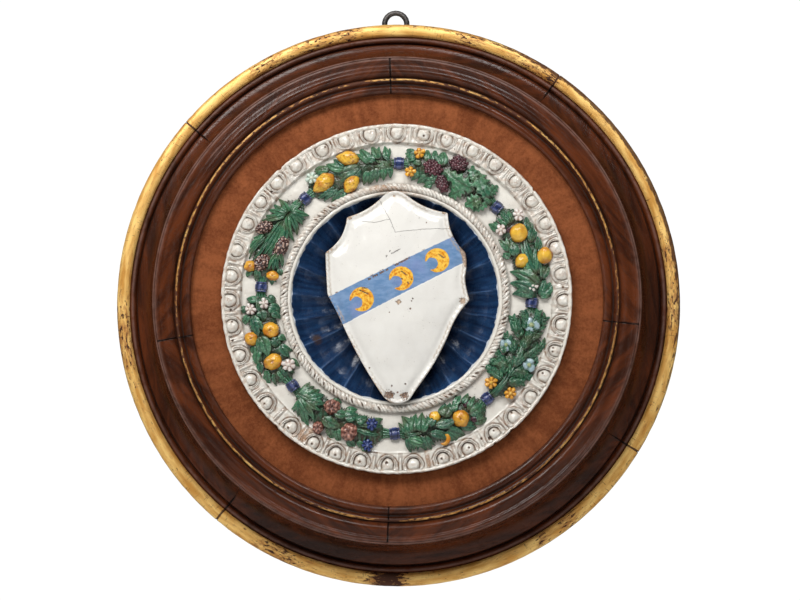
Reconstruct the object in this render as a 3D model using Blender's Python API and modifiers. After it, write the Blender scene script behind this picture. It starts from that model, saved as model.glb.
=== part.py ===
# Coat of arms: a glazed terracotta tondo with a garland, a fluted dish and a shield, laid on a
# velvet ground in a round moulded frame, to hang on a wall by an iron loop.
# Everything is set out about a local axis that points out of the wall: local X is to the right,
# local Y is up, and a height is measured from the wall. The empty turns that axis to face -Y.

import math

import bmesh
import bpy
from mathutils import Matrix, Vector

# Driving dimensions, in metres
FRAME_RADIUS = 0.450
FRAME_DEPTH = 0.100
TIER_RADIUS = 0.3742
SIGHT_RADIUS = 0.320
TONDO_RADIUS = 0.2715
GAP = 0.0003
FLUTE_COUNT = 23
FLUTE_PHASE = 36.7
TURN_STEPS = 2 * FLUTE_COUNT
CUT_PAST = 0.010

# Outer tier: cove, quirk, fillet and gilded bead
COVE_HEAD_RADIUS = 0.3775
COVE_FOOT_RADIUS = 0.4145
COVE_HEAD = 0.0960
COVE_FOOT = 0.0195
QUIRK = (0.4170, 0.0132)
FILLET_CROWN = (0.4235, 0.0202)
FILLET_FOOT = (0.4285, 0.0165)
BEAD_CENTRE = (0.4392, 0.0125)
BEAD_RADIUS = FRAME_RADIUS - 0.4392
BACK_EDGE_RADIUS = 0.4440

# A slice that saws a tier into segments: how far it reaches out, its foot and its height
SLICE_REACH = 0.720
SLICE_FOOT = -0.050
SLICE_HEIGHT = 0.250

# Inner tier: ridge, roll, gilt fillet and sight bead
REBATE_RADIUS = 0.3350
RIDGE_SIDE = 0.0972
RIDGE_RADIUS = 0.3712
ROLL_CROWN = (0.3555, 0.0997)
GILT_FILLET = ((0.3450, 0.0925), (0.3405, 0.0945), (0.3358, 0.0900))
SIGHT_QUIRK = (0.3345, 0.0880)
SIGHT_BEAD_CENTRE = (0.3268, 0.0868)
SIGHT_BEAD_RADII = (0.0068, 0.0062)

# Backboard and velvet
BOARD_THICKNESS = 0.0200
DRUM_TOP = 0.0785
VELVET_THICKNESS = 0.0014

# Tondo: its rings, each as a radius and a height above the wall
LIP_HEIGHT = 0.1000
LIP_INNER_RADIUS = 0.2645
LIP_EDGE_HEIGHT = 0.0985
EGG_BAND = ((0.2400, 0.0925), (0.2630, 0.0955))
EGG_COUNT = 39
EGG_RING_RADIUS = 0.2528
EGG_SIZE = (0.0115, 0.0105, 0.0115)
EGG_FOOT = 0.0910
EGG_SIDES = 5
EGG_TAPER = 0.45
EGG_TURN = 7.0
GROUND_HEIGHT = 0.0885
GROUND_RADII = (0.1785, 0.2380)
ROPE_CENTRE = (0.1710, 0.0917)
ROPE_HALF_WIDTH = 0.0055
ROPE_ARC = (150.0, 20.0)
RIM_FILLET = (0.1620, 0.0938)
DISH_RIM_RADIUS = 0.1585
DISH_RIM = 0.0918
DISH_BEND = (0.1260, 0.0665)
DISH_FLOOR_RADIUS = 0.0560
DISH_FLOOR = 0.0500
FLUTE_DEPTH = 0.0040
FLUTE_RADII = (0.0660, 0.1595)
TONDO_SHARP_ANGLE = 12.0

# Garland
GARLAND_RADIUS = 0.2095
GARLAND_HALF_WIDTH = 0.0235
GARLAND_RISE = 0.0085
GARLAND_SINK = 0.0030
GARLAND_SHOULDER = 0.60
SHOULDER_RISE = 0.80
RIDGE_RISE = (0.35, 0.40)
STALK_HALF_WIDTH = 0.0060
STALK_SHARE = 0.50
STALK_CLEARANCE = (1.1, 1.3)
HEAD_WIDENING = 1.6
HEAD_SHARE = 0.60
TAIL_STEP = 0.6
LEAF_PITCH = 8.0
LEAF_SWEEP = 3.0
LEAF_TIP_AT = 0.35
LEAF_WAVE = 0.0022
LEAF_WAVE_STEP = 2.4
NOTCH_AT = 0.90
NOTCH_WIDTH = 0.62
NOTCH_SHARE = 0.55
FLOWER_SIDES = 5
FLOWER_HEIGHT = 0.0130
FLOWER_TAPER = 0.45
FLOWER_LIFT = 0.0011
FRUIT_RISE = 0.0085
FRUIT_RISE_SHARE = 0.50
FRUIT_LIFT = 0.0043
FRUIT_TURN = 11.0
RIBBON_SIDES = 7
RIBBON_RADIUS = 0.0095
RIBBON_LENGTH = 0.0130
RIBBON_LIFT = 0.0022
RIBBON_ANGLES = (1.2, 48.2, 92.3, 138.1, 180.6, 229.5, 274.6, 317.5)

# Shield: heights above the wall, and the rings of its section as shares of its outline
SHIELD_EDGE = 0.0985
SHIELD_THICKNESS = 0.0095
SHIELD_LIP = 0.0014
SHIELD_LIP_SHARE = 0.94
SHIELD_ROUNDING = 0.0012
SHIELD_ROUNDING_SHARE = 0.985
SHIELD_BACK_SHARE = 0.93
SHIELD_HOLLOW = 0.0080
SHIELD_DOME = 0.0160
SHOULDER_SHARE = 0.50
SHOULDER_DOME = 0.0120
SHIELD_SHARP_ANGLE = 40.0
BOSS_RADIUS = 0.0450
BOSS_TAPER = 0.92
BOSS_SIDES = 14
ARC_STEPS = 2
LEAST_BULGE = 0.0025

# Hanging loop, in a pocket at the back of the top segment
LOOP_X = -0.003
LOOP_CENTRE_Y = 0.4535
LOOP_RADIUS = 0.0180
LOOP_BAR_RADIUS = 0.0045
LOOP_HEIGHT = 0.0050
LOOP_FOOT_Y = 0.4060
PLATE_SIZE = (0.0520, 0.0300, 0.0040)
PLATE_Y = 0.4020
PLATE_BACK = 0.0045
POCKET_SIZE = (0.0580, 0.0800, 0.0105)
POCKET_FOOT_Y = 0.3830
SCREW_X = 0.0150
SCREW_Y = 0.3960
SCREW_RADIUS = 0.0022
SCREW_HEAD_RADIUS = 0.0044
SCREW_HEAD = 0.0028
SCREW_HEAD_LAP = 0.0010
SCREW_BITE = 0.0120
ROD_SIDES = 8

# Joints of the two tiers, anticlockwise from the right, seen from the front
OUTER_JOINTS = {"top": (54.3, 139.6), "left": (139.6, 230.4),
                "bottom": (230.4, 327.8), "right": (327.8, 414.3)}
INNER_JOINTS = {"upper_left": (91.5, 190.4), "lower_left": (190.4, 268.0),
                "lower_right": (268.0, 353.5), "upper_right": (353.5, 451.5)}

# Garland bundles: first and last angle of the leaves, clockwise from the top, and the fruits and
# flowers as (kind, angle, radius, half length, half width)
BUNDLES = (
    {"span": (3.4, 45.0), "fruits": (
        ("flower", 9.2, 0.226, 0.007, 0.008), ("flower", 6.4, 0.196, 0.007, 0.009),
        ("grapes", 25.0, 0.229, 0.015, 0.013), ("grapes", 15.8, 0.207, 0.016, 0.012),
        ("grapes", 22.7, 0.189, 0.010, 0.014))},
    {"span": (50.5, 90.0), "fruits": (
        ("fruit", 61.7, 0.216, 0.016, 0.011), ("fruit", 74.0, 0.237, 0.011, 0.012),
        ("fruit", 73.5, 0.201, 0.012, 0.011), ("flower", 85.4, 0.210, 0.007, 0.008))},
    {"span": (95.0, 135.3), "fruits": (
        ("flower", 101.5, 0.211, 0.014, 0.009), ("flower", 117.0, 0.229, 0.009, 0.010),
        ("flower", 116.5, 0.185, 0.011, 0.009), ("flower", 130.2, 0.229, 0.009, 0.010),
        ("flower", 132.2, 0.196, 0.009, 0.009))},
    {"span": (140.5, 178.4), "fruits": (
        ("fruit", 152.0, 0.211, 0.013, 0.013), ("fruit", 161.5, 0.229, 0.011, 0.014),
        ("fruit", 161.8, 0.192, 0.009, 0.009), ("fruit", 172.0, 0.223, 0.006, 0.011))},
    {"span": (185.2, 225.9), "fruits": (
        ("flower", 190.9, 0.231, 0.008, 0.008), ("flower", 190.8, 0.198, 0.008, 0.008),
        ("fruit", 199.2, 0.220, 0.013, 0.014), ("fruit", 211.0, 0.233, 0.009, 0.010),
        ("fruit", 210.0, 0.195, 0.013, 0.011))},
    {"span": (232.5, 272.0), "fruits": (
        ("flower", 237.7, 0.195, 0.009, 0.009), ("fruit", 242.3, 0.214, 0.012, 0.014),
        ("fruit", 254.0, 0.232, 0.010, 0.010), ("fruit", 255.5, 0.200, 0.012, 0.012))},
    {"span": (277.0, 315.3), "fruits": (
        ("fruit", 282.2, 0.231, 0.009, 0.008), ("fruit", 280.0, 0.194, 0.008, 0.009),
        ("fruit", 284.4, 0.216, 0.015, 0.010), ("fruit", 297.8, 0.233, 0.009, 0.011),
        ("fruit", 294.1, 0.195, 0.018, 0.010))},
    {"span": (320.8, 358.4), "fruits": (
        ("flower", 324.8, 0.228, 0.009, 0.008), ("fruit", 328.0, 0.210, 0.017, 0.014),
        ("fruit", 341.2, 0.229, 0.014, 0.013), ("fruit", 339.2, 0.189, 0.015, 0.011))},
)

# Shield outline, clockwise from the left foot of its crown: each corner (x, y), then how far the
# arc to the next corner bulges outwards
SHIELD_CORNERS = (
    (-0.0219, 0.1543, 0.0085), (0.0166, 0.1574, -0.0052), (0.0800, 0.1300, -0.0072),
    (0.1067, 0.0681, 0.0020), (0.1060, 0.0311, -0.0015), (0.1132, -0.0051, -0.0030),
    (0.0829, -0.0521, 0.0030), (0.0382, -0.1321, -0.0005), (0.0213, -0.1568, 0.0085),
    (-0.0188, -0.1537, 0.0028), (-0.0804, -0.0459, -0.0005), (-0.1053, 0.0034, 0.0003),
    (-0.1089, 0.0688, -0.0080), (-0.0758, 0.1235, -0.0045),
)

# Finishes: colour, roughness and metallic value
FINISHES = {
    "walnut": ((0.075, 0.026, 0.013), 0.38, 0.0),
    "board_wood": ((0.33, 0.22, 0.13), 0.75, 0.0),
    "velvet": ((0.26, 0.075, 0.026), 0.95, 0.0),
    "glazed_terracotta": ((0.80, 0.76, 0.70), 0.22, 0.0),
    "white_glaze": ((0.82, 0.79, 0.74), 0.15, 0.0),
    "iron": ((0.035, 0.030, 0.028), 0.60, 0.9),
}


def clear_scene():
    for old in list(bpy.data.objects):
        bpy.data.objects.remove(old, do_unlink=True)


def new_collection(name):
    collection = bpy.data.collections.new(name)
    bpy.context.scene.collection.children.link(collection)
    return collection


def finish_material(part_name, finish):
    colour, roughness, metallic = FINISHES[finish]
    material = bpy.data.materials.new(part_name + "_finish")
    material.use_nodes = True
    shader = material.node_tree.nodes["Principled BSDF"]
    shader.inputs["Base Color"].default_value = (*colour, 1.0)
    shader.inputs["Roughness"].default_value = roughness
    shader.inputs["Metallic"].default_value = metallic
    return material


def add_object(name, mesh, collection, parent, finish=None):
    part = bpy.data.objects.new(name, mesh)
    collection.objects.link(part)
    part.parent = parent
    if finish:
        mesh.materials.clear()
        mesh.materials.append(finish_material(name, finish))
    return part


def add_cutter(name, mesh, collection, parent):
    cutter = add_object(name, mesh, collection, parent)
    cutter.hide_render = True
    cutter.display_type = "WIRE"
    return cutter


def mesh_from_bmesh(name, body, smooth_angle=None):
    bmesh.ops.recalc_face_normals(body, faces=body.faces)
    mesh = bpy.data.meshes.new(name)
    body.to_mesh(mesh)
    body.free()
    if smooth_angle:
        mesh.shade_smooth()
        mesh.set_sharp_from_angle(angle=math.radians(smooth_angle))
    return mesh


def add_boolean(target, cutter, operation):
    boolean = target.modifiers.new(operation.lower(), "BOOLEAN")
    boolean.operation = operation
    boolean.object = cutter
    boolean.solver = "EXACT"


def evaluated_mesh(source):
    # The object's mesh with its modifiers applied
    graph = bpy.context.evaluated_depsgraph_get()
    return bpy.data.meshes.new_from_object(source.evaluated_get(graph))


def on_circle(radius, clockwise_angle):
    # A point at this angle clockwise from the top, seen from the front
    angle = math.radians(90.0 - clockwise_angle)
    return radius * math.cos(angle), radius * math.sin(angle)


def arc_points(centre, radii, start, end, count):
    # Points along an ellipse's arc, from one angle to another, in degrees
    points = []
    for step in range(count):
        angle = math.radians(start + (end - start) * step / (count - 1))
        points.append((centre[0] + radii[0] * math.cos(angle),
                       centre[1] + radii[1] * math.sin(angle)))
    return points


def turned_object(name, profile, closed, collection, parent, finish=None):
    # Turns a profile of (radius, height) points about the local axis, with a column of points on
    # every flute's ridge and hollow, so that rings which meet have the same sides
    mesh = bpy.data.meshes.new(name)
    edges = [(i, i + 1) for i in range(len(profile) - 1)]
    if closed:
        edges.append((len(profile) - 1, 0))
    mesh.from_pydata([(radius, 0.0, height) for radius, height in profile], edges, [])
    turned = add_object(name, mesh, collection, parent, finish)
    turned.rotation_euler.z = math.radians(FLUTE_PHASE)
    screw = turned.modifiers.new("turn", "SCREW")
    screw.axis = "Z"
    screw.angle = math.tau
    screw.steps = TURN_STEPS
    screw.render_steps = TURN_STEPS
    screw.use_merge_vertices = True
    screw.merge_threshold = 0.0001
    screw.use_smooth_shade = True
    return turned


def outer_tier_profile():
    cove_centre = (COVE_FOOT_RADIUS, COVE_HEAD)
    cove_radii = (COVE_FOOT_RADIUS - COVE_HEAD_RADIUS, COVE_HEAD - COVE_FOOT)
    inner_side = TIER_RADIUS + GAP
    return ([(inner_side, COVE_HEAD)]
            + arc_points(cove_centre, cove_radii, 180.0, 270.0, 4)
            + [QUIRK, FILLET_CROWN, FILLET_FOOT]
            + arc_points(BEAD_CENTRE, (BEAD_RADIUS, BEAD_RADIUS), 125.0, -45.0, 4)
            + [(BACK_EDGE_RADIUS, 0.0), (inner_side, 0.0)])


def inner_tier_profile():
    board_top = BOARD_THICKNESS + GAP
    lip_underside = DRUM_TOP + GAP + VELVET_THICKNESS + GAP
    bead = arc_points(SIGHT_BEAD_CENTRE, SIGHT_BEAD_RADII, 50.0, 180.0, 3)
    return ([(SIGHT_RADIUS, lip_underside)] + bead[::-1]
            + [SIGHT_QUIRK] + list(GILT_FILLET[::-1])
            + [ROLL_CROWN, (RIDGE_RADIUS, FRAME_DEPTH),
               (TIER_RADIUS, RIDGE_SIDE), (TIER_RADIUS, board_top),
               (REBATE_RADIUS, board_top), (REBATE_RADIUS, lip_underside)])


def wedge_mesh(name, start, end):
    # A slice of the frame's circle, held back from its neighbours by half a gap at each side
    half = math.radians(end - start) / 2.0
    middle = math.radians(start + end) / 2.0
    apex = Vector((math.cos(middle), math.sin(middle), 0.0)) * (GAP / 2.0 / math.sin(half))
    corners = [apex]
    for share in (-1.0, -0.5, 0.0, 0.5, 1.0):
        angle = middle + half * share
        corners.append(apex + SLICE_REACH * Vector((math.cos(angle), math.sin(angle), 0.0)))
    body = bmesh.new()
    foot = Vector((0.0, 0.0, SLICE_FOOT))
    face = body.faces.new([body.verts.new(corner + foot) for corner in corners])
    lifted = bmesh.ops.extrude_face_region(body, geom=[face])
    raised = [item for item in lifted["geom"] if isinstance(item, bmesh.types.BMVert)]
    bmesh.ops.translate(body, verts=raised, vec=(0.0, 0.0, SLICE_HEIGHT))
    return mesh_from_bmesh(name, body)


def build_tier(tier, profile, joints, parts, cutters, parent):
    # One turned ring of this profile, sawn into its segments
    segments = {}
    for place, (start, end) in joints.items():
        name = tier + "_" + place
        segment = turned_object(name, profile, True, parts, parent, finish="walnut")
        wedge = add_cutter(name + "_slice", wedge_mesh(name + "_slice", start, end), cutters, parent)
        add_boolean(segment, wedge, "INTERSECT")
        segments[place] = segment
    return segments


def build_backboard(parts, parent):
    # A flat round board with a raised drum that carries the velvet and holds the tondo's edge
    profile = [(0.0, BOARD_THICKNESS), (TONDO_RADIUS + GAP, BOARD_THICKNESS),
               (TONDO_RADIUS + GAP, DRUM_TOP), (REBATE_RADIUS - GAP, DRUM_TOP),
               (REBATE_RADIUS - GAP, BOARD_THICKNESS), (TIER_RADIUS, BOARD_THICKNESS),
               (TIER_RADIUS, 0.0), (0.0, 0.0)]
    turned_object("backboard", profile, False, parts, parent, finish="board_wood")


def build_velvet(parts, parent):
    low = DRUM_TOP + GAP
    high = low + VELVET_THICKNESS
    inner = TONDO_RADIUS + GAP
    outer = REBATE_RADIUS - GAP
    profile = [(inner, high), (outer, high), (outer, low), (inner, low)]
    turned_object("velvet_cover", profile, True, parts, parent, finish="velvet")


def tondo_profile():
    # From the dish's floor out to the edge and back under to the axis
    rope = arc_points(ROPE_CENTRE, (ROPE_HALF_WIDTH, ROPE_HALF_WIDTH), *ROPE_ARC, 3)
    back = BOARD_THICKNESS + GAP
    return ([(0.0, DISH_FLOOR), (DISH_FLOOR_RADIUS, DISH_FLOOR), DISH_BEND,
             (DISH_RIM_RADIUS, DISH_RIM), RIM_FILLET] + rope
            + [(radius, GROUND_HEIGHT) for radius in GROUND_RADII] + list(EGG_BAND)
            + [(LIP_INNER_RADIUS, LIP_HEIGHT), (TONDO_RADIUS, LIP_EDGE_HEIGHT),
               (TONDO_RADIUS, back), (0.0, back)])


def flute_dish(mesh):
    # Sinks every other column of the dish and scallops its rim
    phase = math.radians(FLUTE_PHASE)
    for vertex in mesh.vertices:
        radius = math.hypot(vertex.co.x, vertex.co.y)
        if FLUTE_RADII[0] < radius < FLUTE_RADII[1] and vertex.co.z > DISH_FLOOR:
            angle = math.atan2(vertex.co.y, vertex.co.x) - phase
            hollow = 0.5 - 0.5 * math.cos(FLUTE_COUNT * angle)
            vertex.co.z -= FLUTE_DEPTH * hollow


def faceted_ball(name, half_size):
    body = bmesh.new()
    bmesh.ops.create_icosphere(body, subdivisions=1, radius=1.0)
    bmesh.ops.scale(body, vec=half_size, verts=body.verts)
    return mesh_from_bmesh(name, body)


def cone(name, segments, half_size, tip_share):
    # A frustum one unit high before it is scaled, standing on local Z = 0
    body = bmesh.new()
    bmesh.ops.create_cone(body, cap_ends=True, segments=segments, radius1=1.0, radius2=tip_share,
                          depth=1.0, matrix=Matrix.Translation((0.0, 0.0, 0.5)))
    bmesh.ops.scale(body, vec=half_size, verts=body.verts)
    return mesh_from_bmesh(name, body)


def place_on_tondo(piece, clockwise_angle, radius, height, turn=0.0):
    # Local X of the piece runs clockwise along the ring and local Y outwards, then it is turned
    x, y = on_circle(radius, clockwise_angle)
    piece.location = (x, y, height)
    piece.rotation_euler = (0.0, 0.0, math.radians(turn - clockwise_angle))


def garland_mesh(name, span, bundle_span):
    # A long low mound of foliage bent along the ring. It is thin as a stalk outside the bundle's
    # span; inside it the stations alternate between leaf tips, swept back, and notches
    body = bmesh.new()
    start, end = bundle_span
    stations = [(span[0], STALK_HALF_WIDTH, STALK_SHARE, 0.0),
                (start, STALK_HALF_WIDTH * HEAD_WIDENING, HEAD_SHARE, 0.0)]
    pairs = round((end - start) / LEAF_PITCH)
    pitch = (end - start) / pairs
    for pair in range(pairs):
        reach = GARLAND_HALF_WIDTH + LEAF_WAVE * math.sin(LEAF_WAVE_STEP * pair + start)
        stations.append((start + pitch * (pair + LEAF_TIP_AT), reach, 1.0, LEAF_SWEEP))
        notch = start + pitch * (pair + NOTCH_AT)
        stations.append((notch, reach * NOTCH_WIDTH, NOTCH_SHARE, 0.0))
    stations += [(end + TAIL_STEP, STALK_HALF_WIDTH, STALK_SHARE, 0.0),
                 (span[1], STALK_HALF_WIDTH, STALK_SHARE, 0.0)]
    rows = []
    for angle, half_width, share, sweep in stations:
        row = []
        shoulder = SHOULDER_RISE * share * GARLAND_RISE
        ridge = (RIDGE_RISE[0] + RIDGE_RISE[1] * share) * GARLAND_RISE
        for side, lift in ((-1.0, -GARLAND_SINK), (-GARLAND_SHOULDER, shoulder), (0.0, ridge),
                           (GARLAND_SHOULDER, shoulder), (1.0, -GARLAND_SINK)):
            x, y = on_circle(GARLAND_RADIUS + side * half_width, angle - sweep * abs(side))
            row.append(body.verts.new((x, y, GROUND_HEIGHT + lift)))
        rows.append(row)
    for near, far in zip(rows, rows[1:]):
        for i in range(len(near)):
            j = (i + 1) % len(near)
            body.faces.new((near[i], near[j], far[j], far[i]))
    body.faces.new(rows[0])
    body.faces.new(rows[-1])
    return mesh_from_bmesh(name, body)


def add_fruits(bundle, name, relief, parent):
    for index, (kind, angle, radius, half_length, half_width) in enumerate(bundle["fruits"]):
        label = "%s_%s_%d" % (name, kind, index)
        if kind == "flower":
            mesh = cone(label, FLOWER_SIDES, (half_length, half_width, FLOWER_HEIGHT), FLOWER_TAPER)
            height = GROUND_HEIGHT + FLOWER_LIFT
        else:
            rise = FRUIT_RISE + FRUIT_RISE_SHARE * min(half_length, half_width)
            mesh = faceted_ball(label, (half_length, half_width, rise))
            height = GROUND_HEIGHT + FRUIT_LIFT
        piece = add_cutter(label, mesh, relief, parent)
        place_on_tondo(piece, angle, radius, height, turn=FRUIT_TURN)


def add_ribbons(relief, parent):
    for index, angle in enumerate(RIBBON_ANGLES):
        label = "ribbon_%d" % index
        body = bmesh.new()
        along = Matrix.Rotation(math.pi / 2.0, 4, "Y")
        bmesh.ops.create_cone(body, cap_ends=True, segments=RIBBON_SIDES, radius1=RIBBON_RADIUS,
                              radius2=RIBBON_RADIUS, depth=RIBBON_LENGTH, matrix=along)
        ribbon = add_cutter(label, mesh_from_bmesh(label, body), relief, parent)
        place_on_tondo(ribbon, angle, GARLAND_RADIUS, GROUND_HEIGHT + RIBBON_LIFT)


def add_eggs(relief, parent):
    egg_mesh = cone("egg", EGG_SIDES, EGG_SIZE, EGG_TAPER)
    pitch = 360.0 / EGG_COUNT
    for index in range(EGG_COUNT):
        egg = add_cutter("egg_%02d" % index, egg_mesh, relief, parent)
        place_on_tondo(egg, index * pitch, EGG_RING_RADIUS, EGG_FOOT, turn=EGG_TURN)


def build_tondo(parts, relief, parent):
    # The turned disc with its fluted dish, and the relief joined to it as one casting
    turned = turned_object("tondo_blank", tondo_profile(), False, relief, parent)
    blank = evaluated_mesh(turned)
    bpy.data.objects.remove(turned, do_unlink=True)
    blank.transform(Matrix.Rotation(math.radians(FLUTE_PHASE), 4, "Z"))
    flute_dish(blank)
    blank.set_sharp_from_angle(angle=math.radians(TONDO_SHARP_ANGLE))
    add_eggs(relief, parent)
    for index, bundle in enumerate(BUNDLES):
        name = "bundle_%d" % (index + 1)
        first = RIBBON_ANGLES[index]
        last = RIBBON_ANGLES[(index + 1) % len(RIBBON_ANGLES)]
        last += 360.0 if last < first else 0.0
        stalks = (first + STALK_CLEARANCE[0], last - STALK_CLEARANCE[1])
        mound = garland_mesh(name, stalks, bundle["span"])
        add_cutter(name, mound, relief, parent)
        add_fruits(bundle, name, relief, parent)
    add_ribbons(relief, parent)
    tondo = add_object("tondo", blank, parts, parent, "glazed_terracotta")
    union = tondo.modifiers.new("relief", "BOOLEAN")
    union.operation = "UNION"
    union.operand_type = "COLLECTION"
    union.collection = relief
    union.solver = "EXACT"
    union.use_self = True


def shield_outline():
    points = []
    for index, (x, y, bulge) in enumerate(SHIELD_CORNERS):
        far = SHIELD_CORNERS[(index + 1) % len(SHIELD_CORNERS)]
        chord = Vector((far[0] - x, far[1] - y))
        outwards = Vector((-chord.y, chord.x)).normalized()
        steps = ARC_STEPS if abs(bulge) > LEAST_BULGE else 1
        for step in range(steps):
            share = step / steps
            swell = 4.0 * share * (1.0 - share) * bulge
            points.append(Vector((x, y)) + chord * share + outwards * swell)
    return points


def build_shield(parts, cutters, parent):
    # A domed plate with a turned-up edge, on a round boss that meets the dish's floor
    outline = shield_outline()
    top = SHIELD_EDGE + SHIELD_THICKNESS
    rings = ((SHIELD_BACK_SHARE, SHIELD_EDGE + SHIELD_ROUNDING), (1.0, SHIELD_EDGE),
             (1.0, top - SHIELD_ROUNDING), (SHIELD_ROUNDING_SHARE, top),
             (SHIELD_LIP_SHARE, top - SHIELD_LIP), (SHOULDER_SHARE, top + SHOULDER_DOME))
    body = bmesh.new()
    rows = []
    for scale, height in rings:
        rows.append([body.verts.new((p.x * scale, p.y * scale, height)) for p in outline])
    for near, far in zip(rows, rows[1:]):
        for i in range(len(near)):
            j = (i + 1) % len(near)
            body.faces.new((near[i], near[j], far[j], far[i]))
    peak = body.verts.new((0.0, 0.0, top + SHIELD_DOME))
    back = body.verts.new((0.0, 0.0, SHIELD_EDGE + SHIELD_HOLLOW))
    for i in range(len(outline)):
        j = (i + 1) % len(outline)
        body.faces.new((rows[-1][i], rows[-1][j], peak))
        body.faces.new((rows[0][j], rows[0][i], back))
    mesh = mesh_from_bmesh("shield", body, SHIELD_SHARP_ANGLE)
    shield = add_object("shield", mesh, parts, parent, "white_glaze")
    foot = DISH_FLOOR + GAP
    boss_body = bmesh.new()
    boss_height = top - foot
    bmesh.ops.create_cone(boss_body, cap_ends=True, segments=BOSS_SIDES, radius1=BOSS_RADIUS,
                          radius2=BOSS_RADIUS * BOSS_TAPER, depth=boss_height,
                          matrix=Matrix.Translation((0.0, 0.0, foot + boss_height / 2.0)))
    boss = add_cutter("shield_boss", mesh_from_bmesh("shield_boss", boss_body), cutters, parent)
    add_boolean(shield, boss, "UNION")


def box_mesh(name, low, high):
    body = bmesh.new()
    bmesh.ops.create_cube(body, size=1.0)
    size = [far - near for near, far in zip(low, high)]
    centre = [(far + near) / 2.0 for near, far in zip(low, high)]
    bmesh.ops.scale(body, vec=size, verts=body.verts)
    bmesh.ops.translate(body, vec=centre, verts=body.verts)
    return mesh_from_bmesh(name, body)


def rod_mesh(name, x, y, radius, low, high):
    body = bmesh.new()
    middle = Matrix.Translation((x, y, (low + high) / 2.0))
    bmesh.ops.create_cone(body, cap_ends=True, segments=ROD_SIDES, radius1=radius, radius2=radius,
                          depth=high - low, matrix=middle)
    return mesh_from_bmesh(name, body)


def bar_mesh():
    # The round bar: up one leg, over the crown, down the other leg
    curve = bpy.data.curves.new("loop_bar", "CURVE")
    curve.dimensions = "3D"
    curve.bevel_depth = LOOP_BAR_RADIUS
    curve.bevel_resolution = 1
    curve.use_fill_caps = True
    crown = arc_points((LOOP_X, LOOP_CENTRE_Y), (LOOP_RADIUS, LOOP_RADIUS), 0.0, 180.0, 7)
    route = ([(LOOP_X + LOOP_RADIUS, LOOP_FOOT_Y)] + crown + [(LOOP_X - LOOP_RADIUS, LOOP_FOOT_Y)])
    spline = curve.splines.new("POLY")
    spline.points.add(len(route) - 1)
    for point, (x, y) in zip(spline.points, route):
        point.co = (x, y, LOOP_HEIGHT, 1.0)
    source = bpy.data.objects.new("loop_bar", curve)
    bpy.context.scene.collection.objects.link(source)
    body = bmesh.new()
    body.from_mesh(evaluated_mesh(source))
    bpy.data.objects.remove(source, do_unlink=True)
    bmesh.ops.remove_doubles(body, verts=body.verts, dist=0.00001)
    return mesh_from_bmesh("hanging_loop", body)


def build_loop(parts, cutters, parent, carrier):
    # Bar and plate forged as one, let into a pocket in the back of the frame's top segment
    loop = add_object("hanging_loop", bar_mesh(), parts, parent, "iron")
    half_wide = PLATE_SIZE[0] / 2.0
    half_tall = PLATE_SIZE[1] / 2.0
    plate = box_mesh("loop_plate", (LOOP_X - half_wide, PLATE_Y - half_tall, PLATE_BACK),
                     (LOOP_X + half_wide, PLATE_Y + half_tall, PLATE_BACK + PLATE_SIZE[2]))
    add_boolean(loop, add_cutter("loop_plate", plate, cutters, parent), "UNION")
    half_pocket = POCKET_SIZE[0] / 2.0
    pocket = box_mesh("loop_pocket", (LOOP_X - half_pocket, POCKET_FOOT_Y, -CUT_PAST),
                      (LOOP_X + half_pocket, POCKET_FOOT_Y + POCKET_SIZE[1], POCKET_SIZE[2]))
    add_boolean(carrier, add_cutter("loop_pocket", pocket, cutters, parent), "DIFFERENCE")
    tip = PLATE_BACK + PLATE_SIZE[2] + SCREW_BITE
    for side, place in ((-1.0, "left"), (1.0, "right")):
        x = LOOP_X + side * SCREW_X
        hole = rod_mesh("screw_hole_" + place, x, SCREW_Y, SCREW_RADIUS + GAP,
                        -CUT_PAST, tip + GAP)
        cutter = add_cutter("screw_hole_" + place, hole, cutters, parent)
        add_boolean(loop, cutter, "DIFFERENCE")
        add_boolean(carrier, cutter, "DIFFERENCE")
        head_back = PLATE_BACK - GAP - SCREW_HEAD
        head = rod_mesh("loop_screw_" + place, x, SCREW_Y, SCREW_HEAD_RADIUS,
                        head_back, PLATE_BACK - GAP)
        shank = rod_mesh("screw_shank_" + place, x, SCREW_Y, SCREW_RADIUS,
                         head_back + SCREW_HEAD_LAP, tip)
        screw = add_object("loop_screw_" + place, head, parts, parent, "iron")
        shank_cutter = add_cutter("screw_shank_" + place, shank, cutters, parent)
        add_boolean(screw, shank_cutter, "UNION")


def main():
    clear_scene()
    parts = new_collection("coat_of_arms")
    cutters = new_collection("coat_of_arms_cutters")
    relief = new_collection("coat_of_arms_relief")
    parent = bpy.data.objects.new("coat_of_arms", None)
    parts.objects.link(parent)
    parent.rotation_euler = (math.pi / 2.0, 0.0, 0.0)
    outer = build_tier("outer_frame", outer_tier_profile(), OUTER_JOINTS, parts, cutters, parent)
    build_tier("inner_frame", inner_tier_profile(), INNER_JOINTS, parts, cutters, parent)
    build_backboard(parts, parent)
    build_velvet(parts, parent)
    build_tondo(parts, relief, parent)
    build_shield(parts, cutters, parent)
    build_loop(parts, cutters, parent, outer["top"])


main()
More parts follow.
